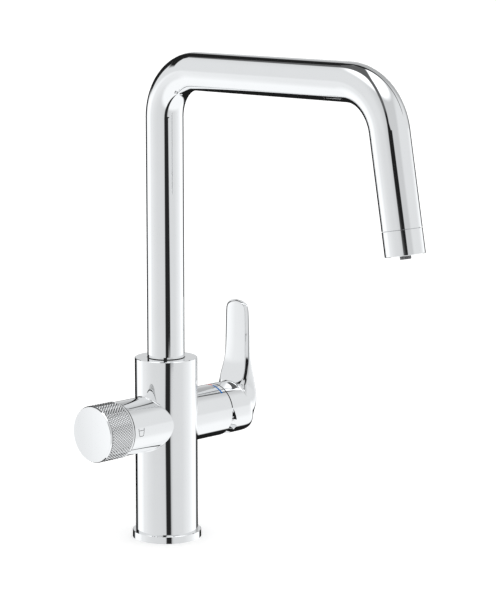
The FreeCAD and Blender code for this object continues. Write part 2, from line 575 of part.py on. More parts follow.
# Lever spindle: a square bar on the pin, with a ball on its short end that pushes the moving disc
bar = block("spindle_bar", "spindle_side", "spindle_side", "spindle_end - pivot + pin_dia",
            ("mixer", "pivot - pin_dia", "-spindle_side / 2", "arm_high + spindle_side / 2"))
neck = rod("spindle_neck", "neck_dia / 2", "ball_back", ("mixer", "pivot - ball_back", "0", "arm_high"))
ball = doc.addObject("Part::Sphere", "spindle_ball")
tie(ball, "Radius", "ball_dia / 2")
put(ball, "up", "pivot - ball_back", "0", "arm_high")
spindle_hole = rod("spindle_pin_hole", "pin_dia / 2 + run", "spindle_side",
                   ("back", "pivot", "-spindle_side / 2", "arm_high"))
piece(cut("spindle_cut", joined("spindle_blank", [bar, neck, ball]), [spindle_hole]), "lever_spindle")

# Ring nut that holds the cartridge, and the bright ring that closes the mouth of the arm
for label, bore, start, stop in (
    ("cartridge_nut", "nut_bore_dia / 2", "shell_end", "nut_end"),
    ("mixer_cap_ring", "cap_bore_dia / 2", "nut_end", "cap_end"),
):
    piece(ring(label + "_body", "cart_dia / 2", bore, start, stop, ON_MIXER), label)

# Lever: a hub that carries on the line of the arm, cut away below so it can tip, and an upright blade
ON_HUB = ("up", "0", "0", "arm_high")


def padded(name, corners, wide):
    """An outline in the arm's own upright plane, padded equally to both sides."""
    body = new_body(name)
    sketch = sketch_on(body, name + "_outline", "XZ_Plane")
    polygon(sketch, corners)
    pad = body.newObject("PartDesign::Pad", name + "_pad")
    pad.Profile = sketch
    pad.SideType = "Symmetric"
    tie(pad, "Length", wide)
    return put(body, *ON_HUB)


def blade_section(sketch, low, high, half, low_corner, high_corner, swell):
    """One level of the blade: a box with round corners whose inner side swells outwards as an arc."""
    x0, x1, y, r0, r1, bulge = (number(text) for text in (low, high, half, low_corner, high_corner, swell))
    corners = ((x0 + r0, r0 - y, r0, 180), (x1 - r1, r1 - y, r1, 270),
               (x1 - r1, y - r1, r1, 0), (x0 + r0, y - r0, r0, 90))
    arcs = []
    for x, y_at, r, start in corners:
        circle = Part.Circle(FreeCAD.Vector(x, y_at, 0), FreeCAD.Vector(0, 0, 1), r)
        arcs.append(Part.ArcOfCircle(circle, math.radians(start), math.radians(start + 90)))
    ends = [sketch.addGeometry(arc) for arc in arcs]
    sides = []
    for i in range(3):
        sides.append(sketch.addGeometry(Part.LineSegment(arcs[i].EndPoint, arcs[i + 1].StartPoint)))
        sketch.addConstraint(Sketcher.Constraint("Tangent", ends[i], 2, sides[i], 1))
        sketch.addConstraint(Sketcher.Constraint("Tangent", sides[i], 2, ends[i + 1], 1))
    for i, kind in enumerate(("Horizontal", "Vertical", "Horizontal")):
        sketch.addConstraint(Sketcher.Constraint(kind, sides[i]))
    swollen = Part.Arc(arcs[3].EndPoint, FreeCAD.Vector(x0 - bulge, 0, 0), arcs[0].StartPoint)
    inner = sketch.addGeometry(swollen)
    sketch.addConstraint(Sketcher.Constraint("Coincident", inner, 1, ends[3], 2))
    sketch.addConstraint(Sketcher.Constraint("Coincident", inner, 2, ends[0], 1))
    flat = "%s - %s" % (half, low_corner)
    for kind, ends_of, text in (
        ("DistanceX", (-1, 1, ends[0], 1), low), ("DistanceX", (-1, 1, ends[3], 2), low),
        ("DistanceY", (ends[0], 1, -1, 1), flat), ("DistanceY", (-1, 1, ends[3], 2), flat),
        ("DistanceX", (-1, 1, sides[1], 1), high), ("DistanceY", (sides[0], 1, -1, 1), half),
        ("DistanceY", (-1, 1, sides[2], 1), half),
        ("Radius", (ends[0],), low_corner), ("Radius", (ends[3],), low_corner),
        ("Radius", (ends[1],), high_corner), ("Radius", (ends[2],), high_corner),
        ("Radius", (inner,), "((%s) * (%s) + %s * %s) / (2 * %s)" % (flat, flat, swell, swell, swell)),
    ):
        index = sketch.addConstraint(Sketcher.Constraint(kind, *ends_of, abs(number(text))))
        tie(sketch, "Constraints[%d]" % index, text)


def edges_where(shape, test):
    """Numbers of the edges that pass a test."""
    return [i + 1 for i, edge in enumerate(shape.Edges) if test(edge)]


def rounded(body, radius, test):
    doc.recompute()
    fillet = body.newObject("PartDesign::Fillet", body.Name + "_round")
    tip = body.Group[-2]
    fillet.Base = (tip, ["Edge%d" % i for i in edges_where(tip.Shape, test)])
    tie(fillet, "Radius", radius)
    return body


blade = new_body("blade")
sections = []
for level in range(len(BLADE)):
    section = sketch_on(blade, "blade_level_%d" % level, "XY_Plane")
    fields = ["blade_%s_%d" % (field, level) for field in BLADE_FIELDS]
    tie(section, "AttachmentOffset.Base.z", fields[0])
    blade_section(section, *fields[1:])
    sections.append(section)
doc.recompute()
loft = blade.newObject("PartDesign::AdditiveLoft", "blade_loft")
loft.Profile = sections[0]
loft.Sections = sections[1:]
put(blade, *ON_HUB)
hub = turned("hub", [
    ("0", "hub_start"), ("hub_dia / 2", "hub_start"), ("hub_taper_dia / 2", "hub_taper_at"),
    ("hub_taper_dia / 2", "hub_end"), ("0", "hub_end"),
], ON_MIXER)
HUB_END = number("hub_end")
rounded(hub, "hub_round", lambda edge: edge.CenterOfMass.z > HUB_END - 0.1)
tip_cut = padded("tip_cut", [
    ("hub_start", "cut_rise"), ("hub_start + cut_out", "-cut_knee"), ("hub_start + cut_out", "-cut_drop"),
    ("hub_start - overcut", "-cut_drop"), ("hub_start - overcut", "cut_rise"),
], "hub_dia + 2 * overcut")
SQUARE = "spindle_side + 2 * run"
socket = block("lever_socket", SQUARE, SQUARE, "spindle_end - hub_start",
               ("mixer", "hub_start", "-spindle_side / 2 - run", "arm_high + spindle_side / 2 + run"))
screw_hole = rod("lever_screw_hole", "lever_screw_dia / 2", "hub_dia / 2",
                 ("down", "lever_screw_x", "0", "arm_high"))
piece(cut("lever_cut", joined("lever_blank", [blade, hub]), [tip_cut, socket, screw_hole]), "lever_handle")
piece(rod("lever_screw_rod", "lever_screw_dia / 2", "lever_screw_long",
          ("down", "lever_screw_x", "0", "arm_high - spindle_side / 2")), "lever_screw")
PLUG_TOP = "arm_high - hub_taper_dia / 2 + lever_plug_long + gap"
piece(rod("lever_plug_rod", "lever_screw_dia / 2", "lever_plug_long", ("down", "lever_screw_x", "0", PLUG_TOP)),
      "lever_plug")

# Filter valve: a screwed-in headpart with two ceramic discs, and the spindle that turns one of them
valve_seal = ring("valve_seal_body", "valve_dia / 2 - valve_seal_inset", "way_dia / 2", "valve_seat",
                  "valve_seal_end", ON_FILTER)
piece(valve_seal, "filter_valve_seal")
headpart = turned("headpart", [
    ("valve_cavity_dia / 2", "valve_seal_end"), ("valve_dia / 2", "valve_seal_end"),
    ("valve_dia / 2", "valve_thread_end"), ("valve_flange_dia / 2", "valve_thread_end"),
    ("valve_flange_dia / 2", "valve_flange_end"), ("valve_neck_dia / 2", "valve_flange_end"),
    ("valve_neck_dia / 2", "valve_neck_end"), ("valve_spindle_dia / 2 + run", "valve_neck_end"),
    ("valve_spindle_dia / 2 + run", "valve_cavity_end"), ("valve_cavity_dia / 2", "valve_cavity_end"),
], ON_FILTER)
WINDOW_X = "gap + valve_window_dia / 2 - valve_cavity_end"
window = rod("valve_window", "valve_window_dia / 2", "valve_dia + 2 * overcut",
             ("up", WINDOW_X, "0", "arm_high - valve_dia / 2 - overcut"))
piece(cut("headpart_cut", headpart, [window]), "filter_valve_body")
for label, start, stop, offset in (
    ("filter_fixed_disc", "valve_seal_end", "valve_fixed_end", ("valve_port_off", "arm_high")),
    ("filter_moving_disc", "valve_fixed_end", "valve_moving_end", ("0", "arm_high + valve_port_off")),
):
    blank = ring(label + "_blank", "valve_disc_dia / 2", "0", start, stop, ON_FILTER)
    port = rod(label + "_port", "valve_port_dia / 2", "%s - %s" % (stop, start),
               ("filter", "-" + start, offset[0], offset[1]))
    piece(cut(label + "_cut", blank, [port]), label)
SCREW_FOOT = "driver_end - knob_screw_long"
piece(turned("valve_spindle_body", [
    ("0", "valve_moving_end"), ("valve_foot_dia / 2", "valve_moving_end"),
    ("valve_foot_dia / 2", "valve_foot_end"), ("valve_spindle_dia / 2", "valve_foot_end"),
    ("valve_spindle_dia / 2", "valve_spindle_end"),
    ("knob_screw_dia / 2", "valve_spindle_end"), ("knob_screw_dia / 2", SCREW_FOOT), ("0", SCREW_FOOT),
], ON_FILTER), "filter_valve_spindle")

# Filter knob: a grip with a web, the driver on the spindle, the screw that holds them, and the face cap
KNOB_BORE = "knob_dia / 2 - knob_wall"
piece(turned("driver_body", [
    ("valve_spindle_dia / 2", "driver_start"), ("driver_dia / 2", "driver_start"),
    ("driver_dia / 2", "web_end"),
    ("driver_dia / 2 + driver_flange", "web_end"), ("driver_dia / 2 + driver_flange", "driver_end"),
    ("knob_screw_dia / 2", "driver_end"), ("knob_screw_dia / 2", "valve_spindle_end"),
    ("valve_spindle_dia / 2", "valve_spindle_end"),
], ON_FILTER), "knob_driver")
piece(turned("grip_body", [
    (KNOB_BORE, "knob_start"), ("knob_dia / 2 - edge", "knob_start"), ("knob_dia / 2", "knob_start + edge"),
    ("knob_dia / 2", "knob_band_end - edge / 2"), ("knob_dia / 2 - edge / 2", "knob_band_end"),
    (KNOB_BORE, "knob_band_end"), (KNOB_BORE, "web_end"), ("driver_dia / 2", "web_end"),
    ("driver_dia / 2", "web_start"), (KNOB_BORE, "web_start"),
], ON_FILTER), "knob_grip")
cap_blank = turned("cap_body", [
    ("0", "knob_band_end - cap_sink"), (KNOB_BORE + " - cap_spigot_wall", "knob_band_end - cap_sink"),
    (KNOB_BORE + " - cap_spigot_wall", "cap_spigot_end"), (KNOB_BORE, "cap_spigot_end"),
    (KNOB_BORE, "knob_band_end"),
    ("knob_dia / 2 - edge / 2", "knob_band_end"), ("knob_face_dia / 2", "knob_end - edge / 2"),
    ("knob_face_dia / 2 - edge / 2", "knob_end"), ("0", "knob_end"),
], ON_FILTER)
DISH_HALF = "(knob_face_dia / 2 - dish_rim)"
DISH = "(%s * %s + dish_deep * dish_deep) / (2 * dish_deep)" % (DISH_HALF, DISH_HALF)
dish = doc.addObject("Part::Sphere", "knob_dish")
tie(dish, "Radius", DISH)
put(dish, "up", "dish_deep - knob_end - " + DISH, "0", "arm_high")
piece(cut("cap_cut", cap_blank, [dish]), "knob_cap")
piece(turned("knob_screw_body", [
    ("0", SCREW_FOOT), ("knob_screw_dia / 2", SCREW_FOOT), ("knob_screw_dia / 2", "driver_end"),
    ("knob_screw_head_dia / 2", "driver_end"), ("knob_screw_head_dia / 2", "driver_end + knob_screw_head"),
    ("0", "driver_end + knob_screw_head"),
], ON_FILTER), "knob_screw")

# Every piece is checked, then written to a file of its own
doc.recompute()
for thing in doc.Objects:
    if "Invalid" in thing.State or "Error" in thing.State:
        raise RuntimeError("not rebuilt: " + thing.Label)
os.makedirs("parts", exist_ok=True)
for thing in pieces:
    if thing.Shape.isNull() or not thing.Shape.isValid():
        raise RuntimeError("bad shape: " + thing.Label)
    thing.Shape.exportStep("parts/%s.step" % thing.Label)
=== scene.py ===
import bpy
import bmesh
import math
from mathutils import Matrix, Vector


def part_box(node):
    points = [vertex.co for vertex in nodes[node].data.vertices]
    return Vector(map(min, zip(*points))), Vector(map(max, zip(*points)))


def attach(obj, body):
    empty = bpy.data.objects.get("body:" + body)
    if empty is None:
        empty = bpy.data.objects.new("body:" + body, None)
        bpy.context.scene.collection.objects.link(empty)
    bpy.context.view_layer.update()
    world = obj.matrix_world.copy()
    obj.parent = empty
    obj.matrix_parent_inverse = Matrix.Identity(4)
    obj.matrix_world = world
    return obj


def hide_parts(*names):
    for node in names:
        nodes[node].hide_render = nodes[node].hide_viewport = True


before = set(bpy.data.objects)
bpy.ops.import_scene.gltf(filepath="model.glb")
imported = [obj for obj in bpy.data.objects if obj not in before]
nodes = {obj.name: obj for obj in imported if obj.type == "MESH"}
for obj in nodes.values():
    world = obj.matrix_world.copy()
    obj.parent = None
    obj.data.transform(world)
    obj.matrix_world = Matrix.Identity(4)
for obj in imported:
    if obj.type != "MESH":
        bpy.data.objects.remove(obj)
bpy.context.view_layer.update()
bpy.ops.object.select_all(action="DESELECT")

# Studio: a seamless sweep of pale paper, seen from the front left of the tap through a long lens.
# The paper glows a little, which keeps it white, and the chrome doesn't mirror it.
CAMERA_AT = (-1.1928, -1.2684, 0.4708)
CAMERA_TURN = math.radians(45.267)
CAMERA_DOWN = math.radians(9.45)
LENS = 141.51
SENSOR = 36
FAR_CLIP = 200
SWEEP_SIDE = 80
PAPER_GREY = (0.9, 0.9, 0.9, 1)
PAPER_GLOW = 0.16
camera_data = bpy.data.cameras.new("photo_camera")
camera_data.lens = LENS
camera_data.sensor_width = SENSOR
camera_data.clip_end = FAR_CLIP
camera = bpy.data.objects.new("photo_camera", camera_data)
camera.location = CAMERA_AT
camera.rotation_euler = (math.pi / 2 - CAMERA_DOWN, 0, -CAMERA_TURN)
bpy.context.collection.objects.link(camera)
bpy.context.scene.camera = camera
bpy.context.scene.view_settings.view_transform = "Standard"
bpy.context.scene.view_settings.look = "None"

bpy.ops.mesh.primitive_plane_add(size=SWEEP_SIDE)
sweep = bpy.context.active_object
sweep.name = "studio_sweep"
sweep.visible_glossy = False
paper = bpy.data.materials.new("sweep_paper")
paper.use_nodes = True
paper_shader = paper.node_tree.nodes["Principled BSDF"]
paper_shader.inputs["Base Color"].default_value = PAPER_GREY
paper_shader.inputs["Roughness"].default_value = 1
paper_shader.inputs["Specular IOR Level"].default_value = 0
paper_shader.inputs["Emission Color"].default_value = (1, 1, 1, 1)
paper_shader.inputs["Emission Strength"].default_value = PAPER_GLOW
sweep.data.materials.append(paper)

# Studio room: what the chrome mirrors, and so most of what is seen of it. Light grey panels stand round the
# tap, with a dark gap beside the camera, darkness behind the tap and a lamp above. All of it is laid out by
# the direction that a ray leaves in. The paper and the dull pieces get an even white light instead.
room = bpy.data.worlds.new("studio_room")
room.use_nodes = True
bpy.context.scene.world = room
room_nodes = room.node_tree.nodes
room_links = room.node_tree.links
room_nodes.clear()
ray = room_nodes.new("ShaderNodeTexCoord").outputs["Generated"]


def room_feed(socket, given):
    """Set a socket to a number, or link it to what another node puts out."""
    if isinstance(given, (int, float)):
        socket.default_value = given
    else:
        room_links.new(given, socket)


def room_dot(direction):
    """How far a ray leaves along a direction, from -1 to 1."""
    node = room_nodes.new("ShaderNodeVectorMath")
    node.operation = "DOT_PRODUCT"
    room_links.new(ray, node.inputs[0])
    node.inputs[1].default_value = direction
    return node.outputs["Value"]


def room_math(operation, *values):
    """A number worked out from others."""
    node = room_nodes.new("ShaderNodeMath")
    node.operation = operation
    for socket, value in zip(node.inputs, values):
        room_feed(socket, value)
    return node.outputs[0]


def room_all(share, *others):
    """A share that is full only where all the given ones are."""
    for other in others:
        share = room_math("MULTIPLY", share, other)
    return share


def room_step(value, low, high):
    """0 below one limit and 1 above another, with a soft change between them."""
    node = room_nodes.new("ShaderNodeMapRange")
    node.interpolation_type = "SMOOTHSTEP"
    for name, given in (("Value", value), ("From Min", low), ("From Max", high)):
        room_feed(node.inputs[name], given)
    return node.outputs[0]


def room_band(value, low, low_soft, high, high_soft):
    """1 between two limits and 0 outside, with a soft change just above each limit."""
    begun = room_step(value, low, room_math("ADD", low, low_soft))
    ended = room_step(value, high, room_math("ADD", high, high_soft))
    return room_all(begun, room_math("SUBTRACT", 1, ended))


def room_mix(share, first, second):
    """The first grey, which gives way to the second as the share fills."""
    node = room_nodes.new("ShaderNodeMix")
    for name, given in (("Factor", share), ("A", first), ("B", second)):
        room_feed(node.inputs[name], given)
    return node.outputs[0]


# How far a ray leaves towards the camera, right, up, and the other ways, and its angle round the tap.
# The pairs of numbers below, such as FLOOR_FROM, are limits on these: where a change begins and is full.
near = room_dot((-math.sin(CAMERA_TURN), -math.cos(CAMERA_TURN), 0))
right = room_dot((math.cos(CAMERA_TURN), -math.sin(CAMERA_TURN), 0))
rise = room_dot((0, 0, 1))
back = room_math("MULTIPLY", near, -1)
left = room_math("MULTIPLY", right, -1)
fall = room_math("MULTIPLY", rise, -1)
around = room_math("ARCTAN2", right, near)

# Panels: the angle to the right of the camera in degrees, and the brightness there
BLACK = 0.012
GAP_GREY = 0.02
BRIGHTEST = 1.2
PANELS = (
    (-180, BLACK), (-139, BLACK), (-133, 0.9), (-125, 1.15), (-112, 1.13), (-98, 1.02),
    (-90, 0.88), (-80, 0.86), (-70, 0.81), (-57, 0.77), (-44, 0.74), (-24, 0.73), (-2, 0.7),
    (1.5, GAP_GREY), (16, GAP_GREY), (20, 0.62), (27, 0.73), (62, 0.75), (92, 0.9),
    (112, 1.08), (135, 1.15), (140, 0.9), (146, BLACK), (180, BLACK),
)
panels = room_nodes.new("ShaderNodeFloatCurve")
curve = panels.mapping.curves[0]
while len(curve.points) < len(PANELS):
    curve.points.new(0.5, 0.5)
for point, (angle, grey) in zip(curve.points, PANELS):
    point.location = (angle / 360 + 0.5, grey / BRIGHTEST)
    point.handle_type = "VECTOR"
panels.mapping.update()
turn = room_math("ADD", room_math("DIVIDE", around, 2 * math.pi), 0.5)
room_links.new(turn, panels.inputs["Value"])
walls = room_math("MULTIPLY", panels.outputs[0], BRIGHTEST)

# Floor: bright in front of the tap and black behind it. The gap beside the camera runs down over it,
# and on the wall above it is wider, with a waist.
FLOOR_GREY = 1.02
FLOOR_FROM = (0.4, 0.62)
BEHIND_FROM = (0.72, 0.82)
GAP_LEFT = 0.0
GAP_LEFT_SOFT = 0.05
GAP_RIGHT = 0.28
GAP_RIGHT_SOFT = 0.08
WALL_GAP_FROM = (-0.195, -0.18)
FOOT_RIGHT = 0.48
WAIST_RIGHT = 0.34
WAIST_FROM = (-0.18, -0.05)
NECK_RIGHT = 0.44
NECK_FROM = (0.02, 0.1)
TRACE = 0.0001
level = room_math("SQRT", room_math("SUBTRACT", 1 + TRACE, room_math("MULTIPLY", rise, rise)))
behind = room_step(room_math("DIVIDE", back, level), *BEHIND_FROM)
floor_gap = room_band(around, GAP_LEFT, GAP_LEFT_SOFT, GAP_RIGHT, GAP_RIGHT_SOFT)
floor_light = room_mix(room_math("MAXIMUM", behind, floor_gap), FLOOR_GREY, BLACK)
wall_right = room_mix(room_step(rise, *WAIST_FROM), FOOT_RIGHT, WAIST_RIGHT)
wall_right = room_mix(room_step(rise, *NECK_FROM), wall_right, NECK_RIGHT)
wall_gap = room_band(around, GAP_LEFT, GAP_LEFT_SOFT, wall_right, GAP_RIGHT_SOFT)
low_walls = room_mix(room_all(wall_gap, room_step(rise, *WALL_GAP_FROM)), walls, GAP_GREY)
low_room = room_mix(room_step(fall, *FLOOR_FROM), low_walls, floor_light)

# Back wall: grey, lighter low on its left, with a black doorway at the left end
BACK_FROM = (0.0, 0.06)
BACK_GREY = 0.44
BACK_RIGHT_FROM = (0.02, 0.2)
LOW_LEFT_GREY = 0.67
HIGH_LEFT_GREY = 0.46
HIGH_LEFT_FROM = (0.2, 0.55)
DOOR_FROM = (0.1, 0.17)
DOOR_BELOW = (-0.42, -0.32)
left_wall = room_mix(room_step(rise, *HIGH_LEFT_FROM), LOW_LEFT_GREY, HIGH_LEFT_GREY)
back_wall = room_mix(room_step(right, *BACK_RIGHT_FROM), left_wall, BACK_GREY)
left_end = room_step(left, *DOOR_FROM)
doorway = room_all(left_end, room_step(fall, *DOOR_BELOW))
back_room = room_mix(room_step(rise, *BACK_FROM), low_room, room_mix(doorway, back_wall, BLACK))

# Side walls above the panels: grey, lighter towards both ends, with a lamp overhead
SIDE_FROM = (-0.03, 0.12)
SIDE_GREY = 0.63
SIDE_END_GREY = 0.79
LEFT_END_FROM = (0.15, 0.8)
RIGHT_END_FROM = (0.6, 0.8)
LAMP_LIGHT = 1.5
LAMP_FROM = (0.74, 0.9)
upper = room_step(rise, *SIDE_FROM)
upper_side = room_mix(room_step(left, *LEFT_END_FROM), SIDE_GREY, SIDE_END_GREY)
upper_side = room_mix(room_step(right, *RIGHT_END_FROM), upper_side, SIDE_END_GREY)
side_room = room_mix(upper, low_room, upper_side)
whole_room = room_mix(room_step(rise, *LAMP_FROM), room_mix(behind, side_room, back_room), LAMP_LIGHT)

# Beam: dark, up from behind the camera and over the ceiling, and wider towards the back wall
CEILING_BLACK = 0.015
BEAM_HIGH_GREY = 0.12
BEAM_HIGH_FROM = (0.4, 0.6)
BEAM_LEFT = -0.245
BEAM_RIGHT_LOW = 0.19
BEAM_RIGHT_HIGH = -0.05
BEAM_NARROW_FROM = (0.13, 0.3)
BEAM_SOFT = 0.06
BEAM_SPREAD_FROM = (-0.2, 0.5)
BEAM_SPREAD_LEFT = 0.28
BEAM_SPREAD_RIGHT = 0.1
BEAM_END = (-0.62, -0.56)
spread = room_step(back, *BEAM_SPREAD_FROM)
beam_left = room_math("SUBTRACT", BEAM_LEFT, room_math("MULTIPLY", spread, BEAM_SPREAD_LEFT))
beam_right = room_mix(room_step(rise, *BEAM_NARROW_FROM), BEAM_RIGHT_LOW, BEAM_RIGHT_HIGH)
beam_right = room_math("ADD", beam_right, room_math("MULTIPLY", spread, BEAM_SPREAD_RIGHT))
beam = room_band(right, beam_left, BEAM_SOFT, beam_right, BEAM_SOFT)
beam = room_all(beam, upper, room_step(near, *BEAM_END))
beam_grey = room_mix(room_step(rise, *BEAM_HIGH_FROM), CEILING_BLACK, BEAM_HIGH_GREY)
whole_room = room_mix(beam, whole_room, beam_grey)

# Ceiling: a black slot across it behind the lamp, narrower to the right, and a black corner at the back left
CEILING_LEAST = 0.02
SLOT_FROM = (0.3, 0.42)
SLOT_NEAR_LEFT = 0.8
SLOT_NEAR_RIGHT = 0.56
SLOT_NEAR_FROM = (-0.3, 0.1)
SLOT_NEAR_SOFT = 0.08
SLOT_FAR_LEFT = 1.37
SLOT_FAR_RIGHT = 0.72
SLOT_FAR_FROM = (-0.9, 0.7)
SLOT_FAR_SOFT = 0.1
CORNER_BACK = (0.56, 0.61)
CORNER_FROM = (0.02, 0.1)
overhead = room_math("MAXIMUM", rise, CEILING_LEAST)
ceiling_back = room_math("DIVIDE", back, overhead)
ceiling_right = room_math("DIVIDE", right, overhead)
slot_near = room_mix(room_step(ceiling_right, *SLOT_NEAR_FROM), SLOT_NEAR_LEFT, SLOT_NEAR_RIGHT)
slot_far = room_mix(room_step(ceiling_right, *SLOT_FAR_FROM), SLOT_FAR_LEFT, SLOT_FAR_RIGHT)
ceiling_slot = room_band(ceiling_back, slot_near, SLOT_NEAR_SOFT, slot_far, SLOT_FAR_SOFT)
ceiling_slot = room_all(ceiling_slot, room_step(rise, *SLOT_FROM))
corner = room_all(room_step(back, *CORNER_BACK), left_end, room_step(rise, *CORNER_FROM))
mirrored = room_mix(room_math("MAXIMUM", corner, ceiling_slot), whole_room, CEILING_BLACK)

# Light: the room itself for mirror rays, slightly cool, and even white for all others
ROOM_TINT = (0.985, 1.0, 1.012, 1)
SOFT_LIGHT = 1.16
tint = room_nodes.new("ShaderNodeMix")
tint.data_type = "RGBA"
tint.blend_type = "MULTIPLY"
tint.inputs["Factor"].default_value = 1
tint.inputs["B"].default_value = ROOM_TINT
room_links.new(mirrored, tint.inputs["A"])
seen = room_nodes.new("ShaderNodeBackground")
room_links.new(tint.outputs["Result"], seen.inputs["Color"])
soft = room_nodes.new("ShaderNodeBackground")
soft.inputs["Color"].default_value = (1, 1, 1, 1)
soft.inputs["Strength"].default_value = SOFT_LIGHT
path = room_nodes.new("ShaderNodeLightPath")
which = room_nodes.new("ShaderNodeMixShader")
room_links.new(path.outputs["Is Glossy Ray"], which.inputs[0])
room_links.new(soft.outputs[0], which.inputs[1])
room_links.new(seen.outputs[0], which.inputs[2])
room_out = room_nodes.new("ShaderNodeOutputWorld")
room_links.new(which.outputs[0], room_out.inputs["Surface"])

# Base ring: turned brass under the column, with a lip that drops into the tap hole.
# It is polished and chromed like the rest of the body, mirror bright with a faint haze left by polishing.
HAZE_DETAIL = 4
HAZE_FROM = 0.3
HAZE_TO = 0.7
haze = bpy.data.node_groups.new("polishing_haze", "ShaderNodeTree")
for label in ("Scale", "Clear", "Hazy"):
    haze.interface.new_socket(label, in_out="INPUT", socket_type="NodeSocketFloat")
for label in ("Roughness", "Cloud"):
    haze.interface.new_socket(label, in_out="OUTPUT", socket_type="NodeSocketFloat")
haze_in = haze.nodes.new("NodeGroupInput")
haze_out = haze.nodes.new("NodeGroupOutput")
haze_place = haze.nodes.new("ShaderNodeTexCoord")
haze_cloud = haze.nodes.new("ShaderNodeTexNoise")
haze_cloud.inputs["Detail"].default_value = HAZE_DETAIL
haze_range = haze.nodes.new("ShaderNodeMapRange")
haze_range.inputs["From Min"].default_value = HAZE_FROM
haze_range.inputs["From Max"].default_value = HAZE_TO
haze.links.new(haze_place.outputs["Object"], haze_cloud.inputs["Vector"])
haze.links.new(haze_in.outputs["Scale"], haze_cloud.inputs["Scale"])
haze.links.new(haze_cloud.outputs["Fac"], haze_range.inputs["Value"])
haze.links.new(haze_in.outputs["Clear"], haze_range.inputs["To Min"])
haze.links.new(haze_in.outputs["Hazy"], haze_range.inputs["To Max"])
haze.links.new(haze_range.outputs[0], haze_out.inputs["Roughness"])
haze.links.new(haze_cloud.outputs["Fac"], haze_out.inputs["Cloud"])


def add_node(tree, kind, **settings):
    """Add a node of a kind to a material's tree, with its settings."""
    node = tree.nodes.new(kind)
    for name, value in settings.items():
        setattr(node, name, value)
    return node


def finish(name, light, dark, scale, clear, hazy, metal):
    """A finish whose colour and gloss drift slightly over the surface."""
    made = bpy.data.materials.new(name)
    made.use_nodes = True
    tree = made.node_tree
    shader = tree.nodes["Principled BSDF"]
    shader.inputs["Metallic"].default_value = metal
    cloud = add_node(tree, "ShaderNodeGroup", name="haze", node_tree=haze)
    for label, value in (("Scale", scale), ("Clear", clear), ("Hazy", hazy)):
        cloud.inputs[label].default_value = value
    shade = add_node(tree, "ShaderNodeMix", name="shade", data_type="RGBA")
    shade.inputs["A"].default_value = (*light, 1)
    shade.inputs["B"].default_value = (*dark, 1)
    tree.links.new(cloud.outputs["Cloud"], shade.inputs["Factor"])
    tree.links.new(shade.outputs["Result"], shader.inputs["Base Color"])
    tree.links.new(cloud.outputs["Roughness"], shader.inputs["Roughness"])
    return made


def plating(name):
    """Bright chrome plate, as on everything that shows."""
    return finish(name, light=(0.95, 0.955, 0.96), dark=(0.92, 0.925, 0.93),
                  scale=45, clear=0.02, hazy=0.045, metal=1)


def dress(material, *names):
    """Give CAD pieces their finish."""
    for name in names:
        nodes[name].data.materials.clear()
        nodes[name].data.materials.append(material)


chrome = plating("polished_chrome")
dress(chrome, "base_ring")

# Base gasket: a flat ring of moulded black rubber in the groove under the base ring.
# The mould leaves it matt, with a fine grain.
GRAIN_DETAIL = 3
GRAIN_STRENGTH = 0.5


def grained(material, scale, height):
    """Raise the surface of a finish with a fine even grain."""
    tree = material.node_tree
    place = tree.nodes.new("ShaderNodeTexCoord")
    grain = tree.nodes.new("ShaderNodeTexNoise")
    grain.inputs["Scale"].default_value = scale
    grain.inputs["Detail"].default_value = GRAIN_DETAIL
    relief = tree.nodes.new("ShaderNodeBump")
    relief.inputs["Strength"].default_value = GRAIN_STRENGTH
    relief.inputs["Distance"].default_value = height
    tree.links.new(place.outputs["Object"], grain.inputs["Vector"])
    tree.links.new(grain.outputs["Fac"], relief.inputs["Height"])
    tree.links.new(relief.outputs["Normal"], tree.nodes["Principled BSDF"].inputs["Normal"])
    return material


rubber = finish("moulded_rubber", light=(0.03, 0.03, 0.03), dark=(0.018, 0.018, 0.018),
                scale=120, clear=0.5, hazy=0.75, metal=0)
dress(grained(rubber, scale=2500, height=0.00004), "base_gasket")

# Body casting: a cast brass column with its two arms, machined, polished and chromed in one piece.
# The filter arm's end is painted dark and dull as painted shade, so the seam at the knob shows as a dark
# line.
# Painted shade for the seams: a dark, dull, non-metallic finish below a limit
SEAM_SHADE_GREY = (0.01, 0.01, 0.01, 1)
SEAM_SHADE_ROUGHNESS = 0.8
SEAM_SHADE_WIDE = 0.00005
filter_arm_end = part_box("body_casting")[0][0]


def shade_painted_below(material, limit, axis):
    """Paint shade on a plated finish: dark, dull and not metallic below a limit along an axis."""
    tree = material.node_tree
    shader = tree.nodes["Principled BSDF"]
    place = tree.nodes.new("ShaderNodeTexCoord")
    along = tree.nodes.new("ShaderNodeSeparateXYZ")
    painted_shade = add_node(tree, "ShaderNodeMath", operation="LESS_THAN")
    painted_shade.inputs[1].default_value = limit
    colour = add_node(tree, "ShaderNodeMix", data_type="RGBA")
    colour.inputs["B"].default_value = SEAM_SHADE_GREY
    dull = tree.nodes.new("ShaderNodeMix")
    dull.inputs["B"].default_value = SEAM_SHADE_ROUGHNESS
    metal = add_node(tree, "ShaderNodeMath", operation="SUBTRACT")
    metal.inputs[0].default_value = 1
    tree.links.new(place.outputs["Object"], along.inputs[0])
    tree.links.new(along.outputs[axis], painted_shade.inputs[0])
    for mask in (colour.inputs["Factor"], dull.inputs["Factor"], metal.inputs[1]):
        tree.links.new(painted_shade.outputs[0], mask)
    tree.links.new(tree.nodes["shade"].outputs["Result"], colour.inputs["A"])
    tree.links.new(tree.nodes["haze"].outputs["Roughness"], dull.inputs["A"])
    tree.links.new(colour.outputs["Result"], shader.inputs["Base Color"])
    tree.links.new(dull.outputs["Result"], shader.inputs["Roughness"])
    tree.links.new(metal.outputs[0], shader.inputs["Metallic"])
    return material


# The filter arm's end gets the painted shade
dress(shade_painted_below(plating("casting_chrome"), filter_arm_end + SEAM_SHADE_WIDE, "X"), "body_casting")

# Hot and cold marks: red and blue enamel, filled flush into a shallow groove round the mixer arm.
# It is stoved and rubbed down with the arm, so it has a soft sheen and mirrors nothing.
ENAMEL_SHINE = 0.02


